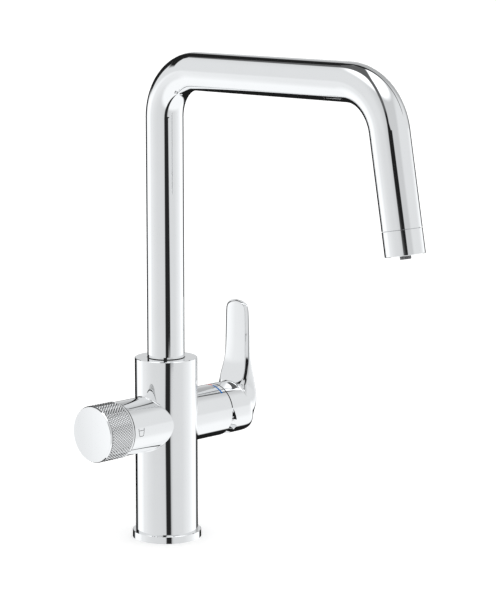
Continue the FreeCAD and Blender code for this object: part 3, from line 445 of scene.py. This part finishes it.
def enamel(name, light, dark):
    """Coloured enamel, rubbed down."""
    made = finish(name, light, dark, scale=300, clear=0.3, hazy=0.45, metal=0)
    made.node_tree.nodes["Principled BSDF"].inputs["Specular IOR Level"].default_value = ENAMEL_SHINE
    return made


dress(enamel("hot_red", light=(0.78, 0.05, 0.035), dark=(0.7, 0.04, 0.03)), "hot_mark")
dress(enamel("cold_blue", light=(0.003, 0.15, 0.46), dark=(0.002, 0.125, 0.4)), "cold_mark")

# Filter sign: a small tumbler with its water line, etched grey into the front of the filter arm.
# It is drawn flat, then laid on the round of the arm.
SIGN_MID = -0.0442
SIGN_TOP = 0.0931
SIGN_LEVEL = 0.0917
SIGN_FOOT = 0.0869
SIGN_WIDE = 0.0057
SIGN_TAPER = 0.74
SIGN_CORNER = 0.001
SIGN_LINE = 0.00042
SIGN_WALL = 0.000483
SIGN_PROUD = 0.00003
# How near a point has to be to count as lying on a line or a surface
FINE = 0.00002


def pick(mesh, kind, test):
    """Select the points, edges or faces of a mesh whose every point passes a test."""
    bpy.ops.mesh.select_all(action="DESELECT")
    bpy.ops.mesh.select_mode(type={"verts": "VERT", "edges": "EDGE", "faces": "FACE"}[kind])
    for element in getattr(mesh, kind):
        points = [element] if kind == "verts" else element.verts
        element.select_set(all(test(point.co) for point in points))
    mesh.select_flush_mode()


bpy.ops.mesh.primitive_plane_add(size=1, rotation=(math.pi / 2, 0, 0))
sign = bpy.context.active_object
sign.name = "filter_sign"
sign.scale = (SIGN_WIDE, SIGN_LEVEL - SIGN_FOOT, 1)
sign.location = (SIGN_MID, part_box("body_casting")[0][1], (SIGN_LEVEL + SIGN_FOOT) / 2)
bpy.ops.object.transform_apply(location=True, rotation=True, scale=True)
bpy.ops.object.mode_set(mode="EDIT")
drawn = bmesh.from_edit_mesh(sign.data)
pick(drawn, "verts", lambda at: at.z < SIGN_FOOT + FINE)
bpy.ops.transform.resize(value=(SIGN_TAPER, 1, 1), center_override=(SIGN_MID, 0, 0))
bpy.ops.mesh.bevel(offset=SIGN_CORNER, segments=5, affect="VERTICES")
bpy.ops.mesh.select_all(action="SELECT")
bpy.ops.mesh.inset(thickness=SIGN_LINE)
bpy.ops.mesh.delete(type="FACE")
# The two walls are cut from the water line and drawn on up to the rim
for side in (-1, 1):
    bpy.ops.mesh.select_all(action="SELECT")
    wall_inside = SIGN_MID + side * (SIGN_WIDE / 2 - SIGN_WALL)
    bpy.ops.mesh.bisect(plane_co=(wall_inside, 0, 0), plane_no=(1, 0, 0))
drawn = bmesh.from_edit_mesh(sign.data)
pick(drawn, "edges", lambda at: at.z > SIGN_LEVEL - FINE)
for line in drawn.edges:
    middle = sum(point.co.x for point in line.verts) / 2
    line.select_set(line.select and abs(middle - SIGN_MID) > SIGN_WIDE / 2 - SIGN_LINE)
drawn.select_flush_mode()
bpy.ops.mesh.extrude_edges_move(TRANSFORM_OT_translate={"value": (0, 0, SIGN_TOP - SIGN_LEVEL)})
bpy.ops.mesh.select_all(action="SELECT")
bpy.ops.mesh.subdivide(number_cuts=2)
bpy.ops.object.mode_set(mode="OBJECT")
wrap = sign.modifiers.new("on_the_arm", "SHRINKWRAP")
wrap.target = nodes["body_casting"]
wrap.wrap_method = "PROJECT"
wrap.use_project_y = True
wrap.use_negative_direction = True
wrap.use_positive_direction = True
wrap.offset = SIGN_PROUD
bpy.ops.object.modifier_apply(modifier=wrap.name)
etched = finish("etched_grey", light=(0.11, 0.11, 0.115), dark=(0.07, 0.07, 0.075),
                scale=900, clear=0.5, hazy=0.7, metal=0)
sign.data.materials.append(etched)
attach(sign, "tap_body")

# Fixing set: two rolled steel studs with long hexagon nuts, and a rubber pad under a zinc-plated plate.
# They pull the tap down on the worktop from below.
UPRIGHT = (0, 0, 1)


def ribbed(material, axis, pitch, height):
    """Raise even ridges on a finish, square to an axis: rolled threads and tool marks."""
    tree = material.node_tree
    place = tree.nodes.new("ShaderNodeTexCoord")
    along = add_node(tree, "ShaderNodeVectorMath", operation="DOT_PRODUCT")
    along.inputs[1].default_value = axis
    turns = add_node(tree, "ShaderNodeMath", operation="MULTIPLY")
    turns.inputs[1].default_value = 2 * math.pi / pitch
    ridge = add_node(tree, "ShaderNodeMath", operation="SINE")
    relief = tree.nodes.new("ShaderNodeBump")
    relief.inputs["Distance"].default_value = height
    tree.links.new(place.outputs["Object"], along.inputs[0])
    tree.links.new(along.outputs["Value"], turns.inputs[0])
    tree.links.new(turns.outputs[0], ridge.inputs[0])
    tree.links.new(ridge.outputs[0], relief.inputs["Height"])
    tree.links.new(relief.outputs["Normal"], tree.nodes["Principled BSDF"].inputs["Normal"])
    return material


def bright_steel(name):
    """Plated steel, less bright than the chrome."""
    return finish(name, light=(0.62, 0.63, 0.64), dark=(0.5, 0.51, 0.52),
                  scale=80, clear=0.2, hazy=0.4, metal=1)


thread = ribbed(bright_steel("rolled_thread"), UPRIGHT, pitch=0.001, height=0.0003)
dress(thread, "fixing_stud_front", "fixing_stud_rear")
steel = grained(bright_steel("plated_steel"), scale=1500, height=0.00002)
dress(steel, "fixing_nut_front", "fixing_nut_rear", "clamp_plate")
dress(rubber, "clamp_pad")

# Spout: one drawn brass tube, bent twice on a mandrel, polished and chromed. Its foot turns in the column on
# two acetal glide rings, with two rubber seals, and a bright collar ring closes the socket round it.
# The foot is painted dark up to just above the collar, as painted shade, so it shows as a thin dark line.
FOOT_SHADE_LINE = 0.0005
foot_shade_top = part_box("spout_collar_ring")[1][2] + FOOT_SHADE_LINE
dress(shade_painted_below(plating("tube_chrome"), foot_shade_top, "Z"), "spout_tube")
dress(chrome, "spout_collar_ring")


def turned_brass(name, axis):
    """Bare brass with the fine rings that a lathe leaves."""
    brass = finish(name, light=(0.78, 0.6, 0.32), dark=(0.68, 0.5, 0.25),
                   scale=60, clear=0.2, hazy=0.4, metal=1)
    return ribbed(brass, axis, pitch=0.0004, height=0.00003)


acetal = finish("light_acetal", light=(0.74, 0.75, 0.75), dark=(0.66, 0.67, 0.67),
                scale=150, clear=0.35, hazy=0.55, metal=0)
grained(acetal, scale=1800, height=0.00002)
dress(turned_brass("spigot_brass", UPRIGHT), "spout_spigot")
dress(acetal, "spout_glide_ring_lower", "spout_glide_ring_upper")
dress(rubber, "spout_seal_lower", "spout_seal_upper")
dress(steel, "spout_stop_screw")

# Filtered water tube: a milky polyethylene tube that runs right through the spout and keeps the filtered
# water apart from the mixed. It is soft, slightly waxy and lets a little light through.
MILKY_SHARE = 0.2
MILKY_DEPTH = 0.001
milky = finish("milky_tube", light=(0.85, 0.87, 0.88), dark=(0.78, 0.8, 0.81),
               scale=200, clear=0.3, hazy=0.5, metal=0)
milky_shader = milky.node_tree.nodes["Principled BSDF"]
milky_shader.inputs["Subsurface Weight"].default_value = MILKY_SHARE
milky_shader.inputs["Subsurface Radius"].default_value = (MILKY_DEPTH, MILKY_DEPTH, MILKY_DEPTH)
dress(milky, "filtered_water_tube")

# Outlet: a steel adapter in the end of the tube, and a chromed sleeve screwed on it that holds the aerator.
# The dark grey nozzle of the filtered water stands out in the middle of the jets.
LEG_LEAN = math.radians(10.4)
LEG = (0, -math.sin(LEG_LEAN), -math.cos(LEG_LEAN))
dress(steel, "outlet_adapter")
dress(chrome, "aerator_sleeve")
dress(acetal, "aerator_insert")
dress(rubber, "aerator_seal")


def dark_plastic(name):
    """Dark grey moulded plastic."""
    return finish(name, light=(0.12, 0.12, 0.125), dark=(0.08, 0.08, 0.085),
                  scale=200, clear=0.35, hazy=0.55, metal=0)


nozzle_plastic = ribbed(dark_plastic("nozzle_plastic"), LEG, pitch=0.0011, height=0.00012)
dress(nozzle_plastic, "filtered_water_nozzle")

# Mixer cartridge: an acetal case with lapped ceramic discs, held in the right arm by a brass ring nut.
# A bright ring closes the mouth of the arm round the lever's spindle.
ARM_WAY = (1, 0, 0)
ceramic = finish("lapped_ceramic", light=(0.88, 0.87, 0.84), dark=(0.82, 0.81, 0.78),
                 scale=90, clear=0.1, hazy=0.3, metal=0)
grained(ceramic, scale=3000, height=0.00001)
arm_brass = turned_brass("arm_brass", ARM_WAY)
dress(rubber, "cartridge_seal")
dress(acetal, "cartridge_base", "cartridge_shell", "spindle_carrier", "disc_slider")
dress(ceramic, "fixed_mixing_disc", "moving_mixing_disc")
dress(steel, "pivot_pin", "lever_spindle")
dress(arm_brass, "cartridge_nut")
dress(chrome, "mixer_cap_ring")

# Mixer lever: die-cast zinc, polished and chromed, held on the square spindle by a grub screw under a plug.
# The hub runs on into an upright blade with a swollen, bevelled inner face like a tongue.
# The hub's inner end is painted dark and dull as painted shade in the seam, and cut away at its lower tip.
cap_low, cap_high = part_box("mixer_cap_ring")
ARM_HIGH = (cap_low[2] + cap_high[2]) / 2
HUB_START = 0.0514
HUB_RADIUS = 0.02
HUB_RIM = 0.001
# Rings of the hub, from its inner end: the inner and the outer point, each as its place along the arm and
# its rise above the arm's axis, and half the width.
HUB_RINGS = (
    (HUB_START, HUB_RADIUS, HUB_START, -HUB_RADIUS, HUB_RADIUS),
    (0.053, HUB_RADIUS, 0.053, -HUB_RADIUS, HUB_RADIUS),
    (0.058, HUB_RADIUS, 0.058, -HUB_RADIUS, HUB_RADIUS),
    (0.0635, HUB_RADIUS, 0.0665, -HUB_RADIUS, HUB_RADIUS),
    (0.0658, HUB_RADIUS, 0.0768, -HUB_RADIUS, HUB_RADIUS),
    (0.0665, HUB_RADIUS, 0.081, -0.0184, 0.0198),
    (0.0668, 0.02005, 0.0818, -0.0115, 0.0192),
)
# Rings of the blade, upwards: the middle of the inner face and the face's edge (along, rise), half the width
# and the rounding of the front edge, the back's edge (along, rise, half width), and the middle of the back.
BLADE_RINGS = (
    (0.067, 0.0202, 0.0676, 0.0176, 0.0146, 0.003, 0.0776, 0.008, 0.0184, 0.0817, -0.002),
    (0.0676, 0.0216, 0.0684, 0.0198, 0.0152, 0.0028, 0.0776, 0.014, 0.0174, 0.0815, 0.008),
    (0.0691, 0.0242, 0.0699, 0.0242, 0.0152, 0.0024, 0.0774, 0.02, 0.0163, 0.081, 0.0165),
    (0.0708, 0.0278, 0.0715, 0.0288, 0.0147, 0.002, 0.0769, 0.0265, 0.0151, 0.0801, 0.0245),
    (0.0721, 0.0328, 0.0727, 0.0338, 0.0138, 0.0014, 0.0768, 0.033, 0.0139, 0.0792, 0.032),
    (0.073, 0.0395, 0.0736, 0.04, 0.013, 0.0011, 0.0764, 0.04, 0.0129, 0.0779, 0.0395),
    (0.0735, 0.05, 0.0741, 0.05, 0.0128, 0.0009, 0.0763, 0.05, 0.0127, 0.0772, 0.05),
    (0.0737, 0.064, 0.0743, 0.064, 0.0126, 0.0009, 0.0762, 0.064, 0.0125, 0.0769, 0.064),
    (0.0737, 0.075, 0.0743, 0.075, 0.0122, 0.0008, 0.076, 0.075, 0.0121, 0.0766, 0.075),
    (0.0738, 0.079, 0.0743, 0.0784, 0.0115, 0.0008, 0.0759, 0.079, 0.0114, 0.0764, 0.0804),
    (0.0739, 0.0809, 0.0743, 0.0805, 0.0082, 0.0006, 0.0758, 0.0814, 0.0082, 0.0763, 0.0822),
    (0.0741, 0.0819, 0.0744, 0.0818, 0.004, 0.0004, 0.0756, 0.0825, 0.004, 0.0761, 0.0828),
)
# Points of half a ring, and the numbers of the points at the face's edge and at the back's edge
HALF_RING = 18
FACE_EDGE = 5
BACK_EDGE = 10
# The hub's rings are drawn slightly large, since smoothing draws them in. They lean outwards towards their
# lower side, in a curve of this power.
ROUND_GAIN = 1.0051
ELBOW = 1.6
# The bevel round the face, which is steeper and narrower on the lower part of the blade
BEVEL_DEEP = 0.0011
BEVEL_WIDE = 0.0022
BEVEL_SHARE = 0.35
STEEP_FROM = 0.05
STEEP_OVER = 0.012
STEEP_DEEPER = 0.0004
STEEP_NARROWER = 0.0005
# The face's round lower end, and the front edge's rounding as shares of its radius
TONGUE_FOOT = 0.0172
TONGUE_ROUND = 0.004
ROUND_START_IN = 0.53
ROUND_MID_BACK = 0.38
ROUND_MID_IN = 0.13
ROUND_END_BACK = 0.88
END_CREASE = 1
BEVEL_CREASE = 0.6
NECK_CREASE = 0.8
SMOOTHING = 3
LEVER_SHARP = math.radians(30)


def between(first, second, share):
    """A value part of the way from one to another."""
    return first + (second - first) * share


def hub_point(ring, step):
    """Where a point of the hub's ring lies: along the arm, aside and above its axis."""
    inner_x, inner_rise, outer_x, outer_rise, half = ring
    angle = math.pi * step / HALF_RING
    deep = 0.5 - math.cos(angle) / 2 * ROUND_GAIN
    x = between(inner_x, outer_x, max(deep, 0) ** ELBOW)
    return x, half * math.sin(angle) * ROUND_GAIN, between(inner_rise, outer_rise, deep)


def blade_point(ring, step):
    """Where a point of the blade's ring lies, from the middle of its face round to that of its back."""
    (face_x, face_rise, edge_x, edge_rise, half, rounding,
     back_x, back_rise, back_half, outer_x, outer_rise) = ring
    steep = min(max((STEEP_FROM - edge_rise) / STEEP_OVER, 0), 1)
    bevel_x = edge_x + BEVEL_DEEP + STEEP_DEEPER * steep
    bevel_half = half - ROUND_START_IN * rounding
    if step <= FACE_EDGE:
        share = step / FACE_EDGE
        bow = share ** 2
        end = 1 - min((edge_rise - TONGUE_FOOT) / TONGUE_ROUND, 1)
        end_in = TONGUE_ROUND * (1 - math.sqrt(1 - end ** 2))
        edge_half = bevel_half - min(BEVEL_WIDE - STEEP_NARROWER * steep, BEVEL_SHARE * half) - end_in
        return between(face_x, edge_x, bow), edge_half * share, between(face_rise, edge_rise, bow)
    if step == FACE_EDGE + 1:
        return bevel_x, bevel_half, edge_rise
    if step == FACE_EDGE + 2:
        return bevel_x + ROUND_MID_BACK * rounding, half - ROUND_MID_IN * rounding, edge_rise
    if step <= BACK_EDGE:
        share = (step - FACE_EDGE - 3) / (BACK_EDGE - FACE_EDGE - 3)
        x = between(bevel_x + ROUND_END_BACK * rounding, back_x, share)
        return x, between(half, back_half, share), between(edge_rise, back_rise, share)
    share = (step - BACK_EDGE) / (HALF_RING - BACK_EDGE)
    x = between(back_x, outer_x, 1 - (1 - share) ** 3)
    return x, back_half * (1 - share ** 2), between(back_rise, outer_rise, share * (2 - share))


lever_rings = [[hub_point(ring, step) for step in range(HALF_RING + 1)] for ring in HUB_RINGS]
lever_rings += [[blade_point(ring, step) for step in range(HALF_RING + 1)] for ring in BLADE_RINGS]
whole_ring = 2 * HALF_RING
bpy.ops.object.select_all(action="DESELECT")
bpy.ops.mesh.primitive_circle_add(vertices=whole_ring, radius=HUB_RADIUS)
lever = bpy.context.active_object
lever.name = "lever_form"
bpy.ops.object.mode_set(mode="EDIT")
bpy.ops.mesh.select_all(action="SELECT")
for number, ring in enumerate(lever_rings):
    if number:
        bpy.ops.mesh.extrude_edges_move(TRANSFORM_OT_translate={"value": (0, 0, HUB_RADIUS)})
    shape = bmesh.from_edit_mesh(lever.data)
    shape.verts.ensure_lookup_table()
    for step in range(whole_ring):
        x, aside, above = ring[min(step, whole_ring - step)]
        side = -1 if step <= HALF_RING else 1
        shape.verts[whole_ring * number + step].co = (x, side * aside, ARM_HIGH + above)
    bmesh.update_edit_mesh(lever.data)
bpy.ops.mesh.edge_face_add()
shape = bmesh.from_edit_mesh(lever.data)
pick(shape, "verts", lambda at: at.x < HUB_START + FINE)
bpy.ops.mesh.edge_face_add()
bpy.ops.mesh.inset(thickness=HUB_RIM)


def on_hub_end(at):
    """Whether a point lies on the rim of the hub's inner end."""
    return at.x < HUB_START + FINE and math.hypot(at.y, at.z - ARM_HIGH) > HUB_RADIUS - HUB_RIM / 2


# Creases keep the hub's end sharp, the bevel crisp and the line where the face meets the hub
shape = bmesh.from_edit_mesh(lever.data)
pick(shape, "edges", on_hub_end)
bpy.ops.transform.edge_crease(value=END_CREASE)
shape = bmesh.from_edit_mesh(lever.data)
shape.verts.ensure_lookup_table()
bpy.ops.mesh.select_all(action="DESELECT")
for number in range(len(HUB_RINGS), len(lever_rings) - 1):
    for step in (FACE_EDGE, FACE_EDGE + 1):
        for column in (step, whole_ring - step):
            first = whole_ring * number + column
            shape.edges.get((shape.verts[first], shape.verts[first + whole_ring])).select_set(True)
bpy.ops.transform.edge_crease(value=BEVEL_CREASE)
bpy.ops.mesh.select_all(action="DESELECT")
neck = whole_ring * (len(HUB_RINGS) - 1)
for step in range(-FACE_EDGE - 1, FACE_EDGE + 1):
    pair = [shape.verts[neck + column % whole_ring] for column in (step, step + 1)]
    shape.edges.get(pair).select_set(True)
bpy.ops.transform.edge_crease(value=NECK_CREASE)
bpy.ops.mesh.select_all(action="SELECT")
bpy.ops.mesh.normals_make_consistent(inside=False)
bpy.ops.object.mode_set(mode="OBJECT")
smooth = lever.modifiers.new("cast_smooth", "SUBSURF")
smooth.levels = SMOOTHING
smooth.render_levels = SMOOTHING
bpy.ops.object.modifier_apply(modifier=smooth.name)

# Cuts in the hub: the lower tip, the square socket of the spindle and the hole of the grub screw.
# Each tool runs on past the hub's end, and the tip's does so along its slope, so the cuts are clean there.
CUT_RISE = 0.004
CUT_OUT = 0.007
CUT_KNEE = 0.011
CUT_REACH = 0.022
CUT_PAST = 0.002
SOCKET_PLAY = 0.0001
SCREW_SIDES = 48
spindle_low, spindle_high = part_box("lever_spindle")
screw_low, screw_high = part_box("lever_screw")


def carve(piece, tool):
    """Cut a tool's shape out of a piece."""
    bpy.ops.object.select_all(action="DESELECT")
    bpy.context.view_layer.objects.active = piece
    cut = piece.modifiers.new("cut", "BOOLEAN")
    cut.operation = "DIFFERENCE"
    cut.solver = "EXACT"
    cut.object = tool
    bpy.ops.object.modifier_apply(modifier=cut.name)
    bpy.data.objects.remove(tool)


cut_start = HUB_START - CUT_PAST
cut_slope = (CUT_RISE + CUT_KNEE) / CUT_OUT
tip_outline = (
    (cut_start, CUT_RISE + cut_slope * CUT_PAST), (HUB_START + CUT_OUT, -CUT_KNEE),
    (HUB_START + CUT_OUT, -CUT_REACH), (cut_start, -CUT_REACH),
)
bpy.ops.mesh.primitive_circle_add(vertices=len(tip_outline), fill_type="NGON")
tip_cut = bpy.context.active_object
for point, (x, above) in zip(tip_cut.data.vertices, tip_outline):
    point.co = (x, -CUT_REACH, ARM_HIGH + above)
bpy.ops.object.mode_set(mode="EDIT")
bpy.ops.mesh.select_all(action="SELECT")
bpy.ops.mesh.extrude_region_move(TRANSFORM_OT_translate={"value": (0, 2 * CUT_REACH, 0)})
bpy.ops.mesh.select_all(action="SELECT")
bpy.ops.mesh.normals_make_consistent(inside=False)
bpy.ops.object.mode_set(mode="OBJECT")
carve(lever, tip_cut)
socket_side = spindle_high[2] - spindle_low[2] + SOCKET_PLAY
bpy.ops.mesh.primitive_cube_add(size=1, location=((cut_start + spindle_high[0]) / 2, 0, ARM_HIGH),
                                scale=(spindle_high[0] - cut_start, socket_side, socket_side))
carve(lever, bpy.context.active_object)
screw_at = (screw_low[0] + screw_high[0]) / 2
bpy.ops.mesh.primitive_cylinder_add(vertices=SCREW_SIDES, radius=(screw_high[0] - screw_low[0]) / 2,
                                    depth=CUT_REACH, location=(screw_at, 0, ARM_HIGH - CUT_REACH / 2))
carve(lever, bpy.context.active_object)
bpy.ops.object.select_all(action="DESELECT")
lever.select_set(True)
bpy.context.view_layer.objects.active = lever
bpy.ops.object.shade_smooth_by_angle(angle=LEVER_SHARP)
# The hub's inner end gets painted shade
lever.data.materials.append(shade_painted_below(plating("lever_chrome"), HUB_START + SEAM_SHADE_WIDE, "X"))
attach(lever, "mixer_lever")
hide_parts("lever_handle")
dress(steel, "lever_screw")
dress(grained(dark_plastic("plug_plastic"), scale=1800, height=0.00002), "lever_plug")

# Filter valve: a brass headpart screwed into the left arm, with two ceramic discs and a turned spindle.
# A quarter turn of the spindle lets the filtered water through.
dress(rubber, "filter_valve_seal")
dress(arm_brass, "filter_valve_body", "filter_valve_spindle")
dress(ceramic, "filter_fixed_disc", "filter_moving_disc")

# Filter knob: a chromed brass grip with a rolled diamond knurl, on an acetal driver screwed to the spindle.
# The grip has a web inside, a plain band by the arm and a fine groove at the seam behind the band.
# Its round face is a plain chromed cap.
KNURL_STARTS = 62
KNURL_ROWS = 8
KNURL_DEEP = 0.0003
KNURL_SHARP = math.radians(20)
PLAIN_BAND = 0.0021
FRONT_BAND = 0.00025
EDGE_BREAK = 0.0002
GRIP_WALL = 0.0026
SEAM_WIDE = 0.0007
SEAM_DEEP = 0.001
WEB_FRONT = -0.0645
WEB_BACK = -0.06
WEB_BORE = 0.007
MERGE_WITHIN = 0.00001
grip_low, grip_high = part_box("knob_grip")
GRIP_FRONT = grip_low[0]
GRIP_BACK = grip_high[0]
GRIP_AXIS = (grip_low[2] + grip_high[2]) / 2
GRIP_OUT = (grip_high[2] - grip_low[2]) / 2
GRIP_BORE = GRIP_OUT - GRIP_WALL
SEAM_FRONT = GRIP_BACK - SEAM_WIDE
SEAM_FLOOR = GRIP_OUT - SEAM_DEEP
KNURL_FLOOR = GRIP_OUT - KNURL_DEEP
KNURL_START = GRIP_BACK - PLAIN_BAND
KNURL_END = GRIP_FRONT + FRONT_BAND
knurl_step = (KNURL_END - KNURL_START) / KNURL_ROWS
# The grip's outline, as places along the arm and radii: the knurl, the front, the web, the groove, the band
outline = [(KNURL_START + knurl_step * row, KNURL_FLOOR) for row in range(1, KNURL_ROWS + 1)]
outline += [
    (GRIP_FRONT, KNURL_FLOOR - EDGE_BREAK), (GRIP_FRONT, GRIP_BORE),
    (WEB_FRONT, GRIP_BORE), (WEB_FRONT, WEB_BORE), (WEB_BACK, WEB_BORE), (WEB_BACK, GRIP_BORE),
    (GRIP_BACK, GRIP_BORE), (GRIP_BACK, SEAM_FLOOR), (SEAM_FRONT, SEAM_FLOOR),
    (SEAM_FRONT, GRIP_OUT - EDGE_BREAK), (SEAM_FRONT - EDGE_BREAK, GRIP_OUT),
    (KNURL_START + EDGE_BREAK, GRIP_OUT), (KNURL_START, KNURL_FLOOR),
]
bpy.ops.object.select_all(action="DESELECT")
bpy.ops.mesh.primitive_circle_add(vertices=KNURL_STARTS, radius=KNURL_FLOOR,
                                  location=(KNURL_START, 0, GRIP_AXIS), rotation=(0, math.pi / 2, 0))
grip = bpy.context.active_object
grip.name = "knurled_grip"
bpy.ops.object.transform_apply(location=True, rotation=True, scale=True)
bpy.ops.object.mode_set(mode="EDIT")
bpy.ops.mesh.select_all(action="SELECT")
along, radius = KNURL_START, KNURL_FLOOR
for next_along, next_radius in outline:
    bpy.ops.mesh.extrude_edges_move(TRANSFORM_OT_translate={"value": (next_along - along, 0, 0)})
    grow = next_radius / radius
    bpy.ops.transform.resize(value=(1, grow, grow), center_override=(next_along, 0, GRIP_AXIS))
    along, radius = next_along, next_radius
bpy.ops.mesh.select_all(action="SELECT")
bpy.ops.mesh.remove_doubles(threshold=MERGE_WITHIN)
bpy.ops.mesh.normals_make_consistent(inside=False)


def on_knurl(at):
    """Whether a point lies on the floor of the knurl."""
    reach = math.hypot(at.y, at.z - GRIP_AXIS)
    return KNURL_END - FINE < at.x < KNURL_START + FINE and abs(reach - KNURL_FLOOR) < 2 * FINE


# Each cell of the knurl's grid is split to its middle and the grid's own lines go.
# That leaves diamonds to raise.
shape = bmesh.from_edit_mesh(grip.data)
pick(shape, "faces", on_knurl)
bpy.ops.mesh.mark_seam(clear=False)
bpy.ops.mesh.poke()
shape = bmesh.from_edit_mesh(grip.data)
bpy.ops.mesh.select_all(action="DESELECT")
bpy.ops.mesh.select_mode(type="EDGE")
for line in shape.edges:
    line.select_set(line.seam and all(len(face.verts) == 3 for face in line.link_faces))
bpy.ops.mesh.dissolve_edges(use_verts=False)
shape = bmesh.from_edit_mesh(grip.data)
pick(shape, "faces", on_knurl)
bpy.ops.mesh.poke(offset=KNURL_DEEP)
bpy.ops.mesh.select_all(action="SELECT")
bpy.ops.mesh.mark_seam(clear=True)
bpy.ops.object.mode_set(mode="OBJECT")
bpy.ops.object.shade_smooth_by_angle(angle=KNURL_SHARP)

# The knurl's valleys are painted darker, as painted shade, by the distance from the knob's axis; all nearer
# the axis than the knurl's floor, the seam groove too, is painted fully dark
VALLEY_SHADE_GREY = (0.2, 0.2, 0.2, 1)
VALLEY_SHADE_SHARE = 0.4
knurled = finish("knurled_chrome", light=(0.93, 0.935, 0.94), dark=(0.88, 0.885, 0.89),
                 scale=400, clear=0.06, hazy=0.12, metal=1)
knurl_tree = knurled.node_tree
knurl_place = knurl_tree.nodes.new("ShaderNodeTexCoord")
from_axis = add_node(knurl_tree, "ShaderNodeVectorMath", operation="SUBTRACT")
from_axis.inputs[1].default_value = (0, 0, GRIP_AXIS)
across = add_node(knurl_tree, "ShaderNodeVectorMath", operation="MULTIPLY")
across.inputs[1].default_value = (0, 1, 1)
reach = add_node(knurl_tree, "ShaderNodeVectorMath", operation="LENGTH")
valley_shade = knurl_tree.nodes.new("ShaderNodeMapRange")
valley_shade.inputs["From Min"].default_value = KNURL_FLOOR
valley_shade.inputs["From Max"].default_value = KNURL_FLOOR + VALLEY_SHADE_SHARE * KNURL_DEEP
knurl_shade = add_node(knurl_tree, "ShaderNodeMix", data_type="RGBA")
knurl_shade.inputs["A"].default_value = VALLEY_SHADE_GREY
knurl_shader = knurl_tree.nodes["Principled BSDF"]
knurl_tree.links.new(knurl_place.outputs["Object"], from_axis.inputs[0])
knurl_tree.links.new(from_axis.outputs[0], across.inputs[0])
knurl_tree.links.new(across.outputs[0], reach.inputs[0])
knurl_tree.links.new(reach.outputs["Value"], valley_shade.inputs["Value"])
knurl_tree.links.new(valley_shade.outputs[0], knurl_shade.inputs["Factor"])
knurl_tree.links.new(knurl_tree.nodes["shade"].outputs["Result"], knurl_shade.inputs["B"])
knurl_tree.links.new(knurl_shade.outputs["Result"], knurl_shader.inputs["Base Color"])
grip.data.materials.append(knurled)
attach(grip, "filter_knob")
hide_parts("knob_grip")
dress(acetal, "knob_driver")
dress(steel, "knob_screw")
dress(chrome, "knob_cap")
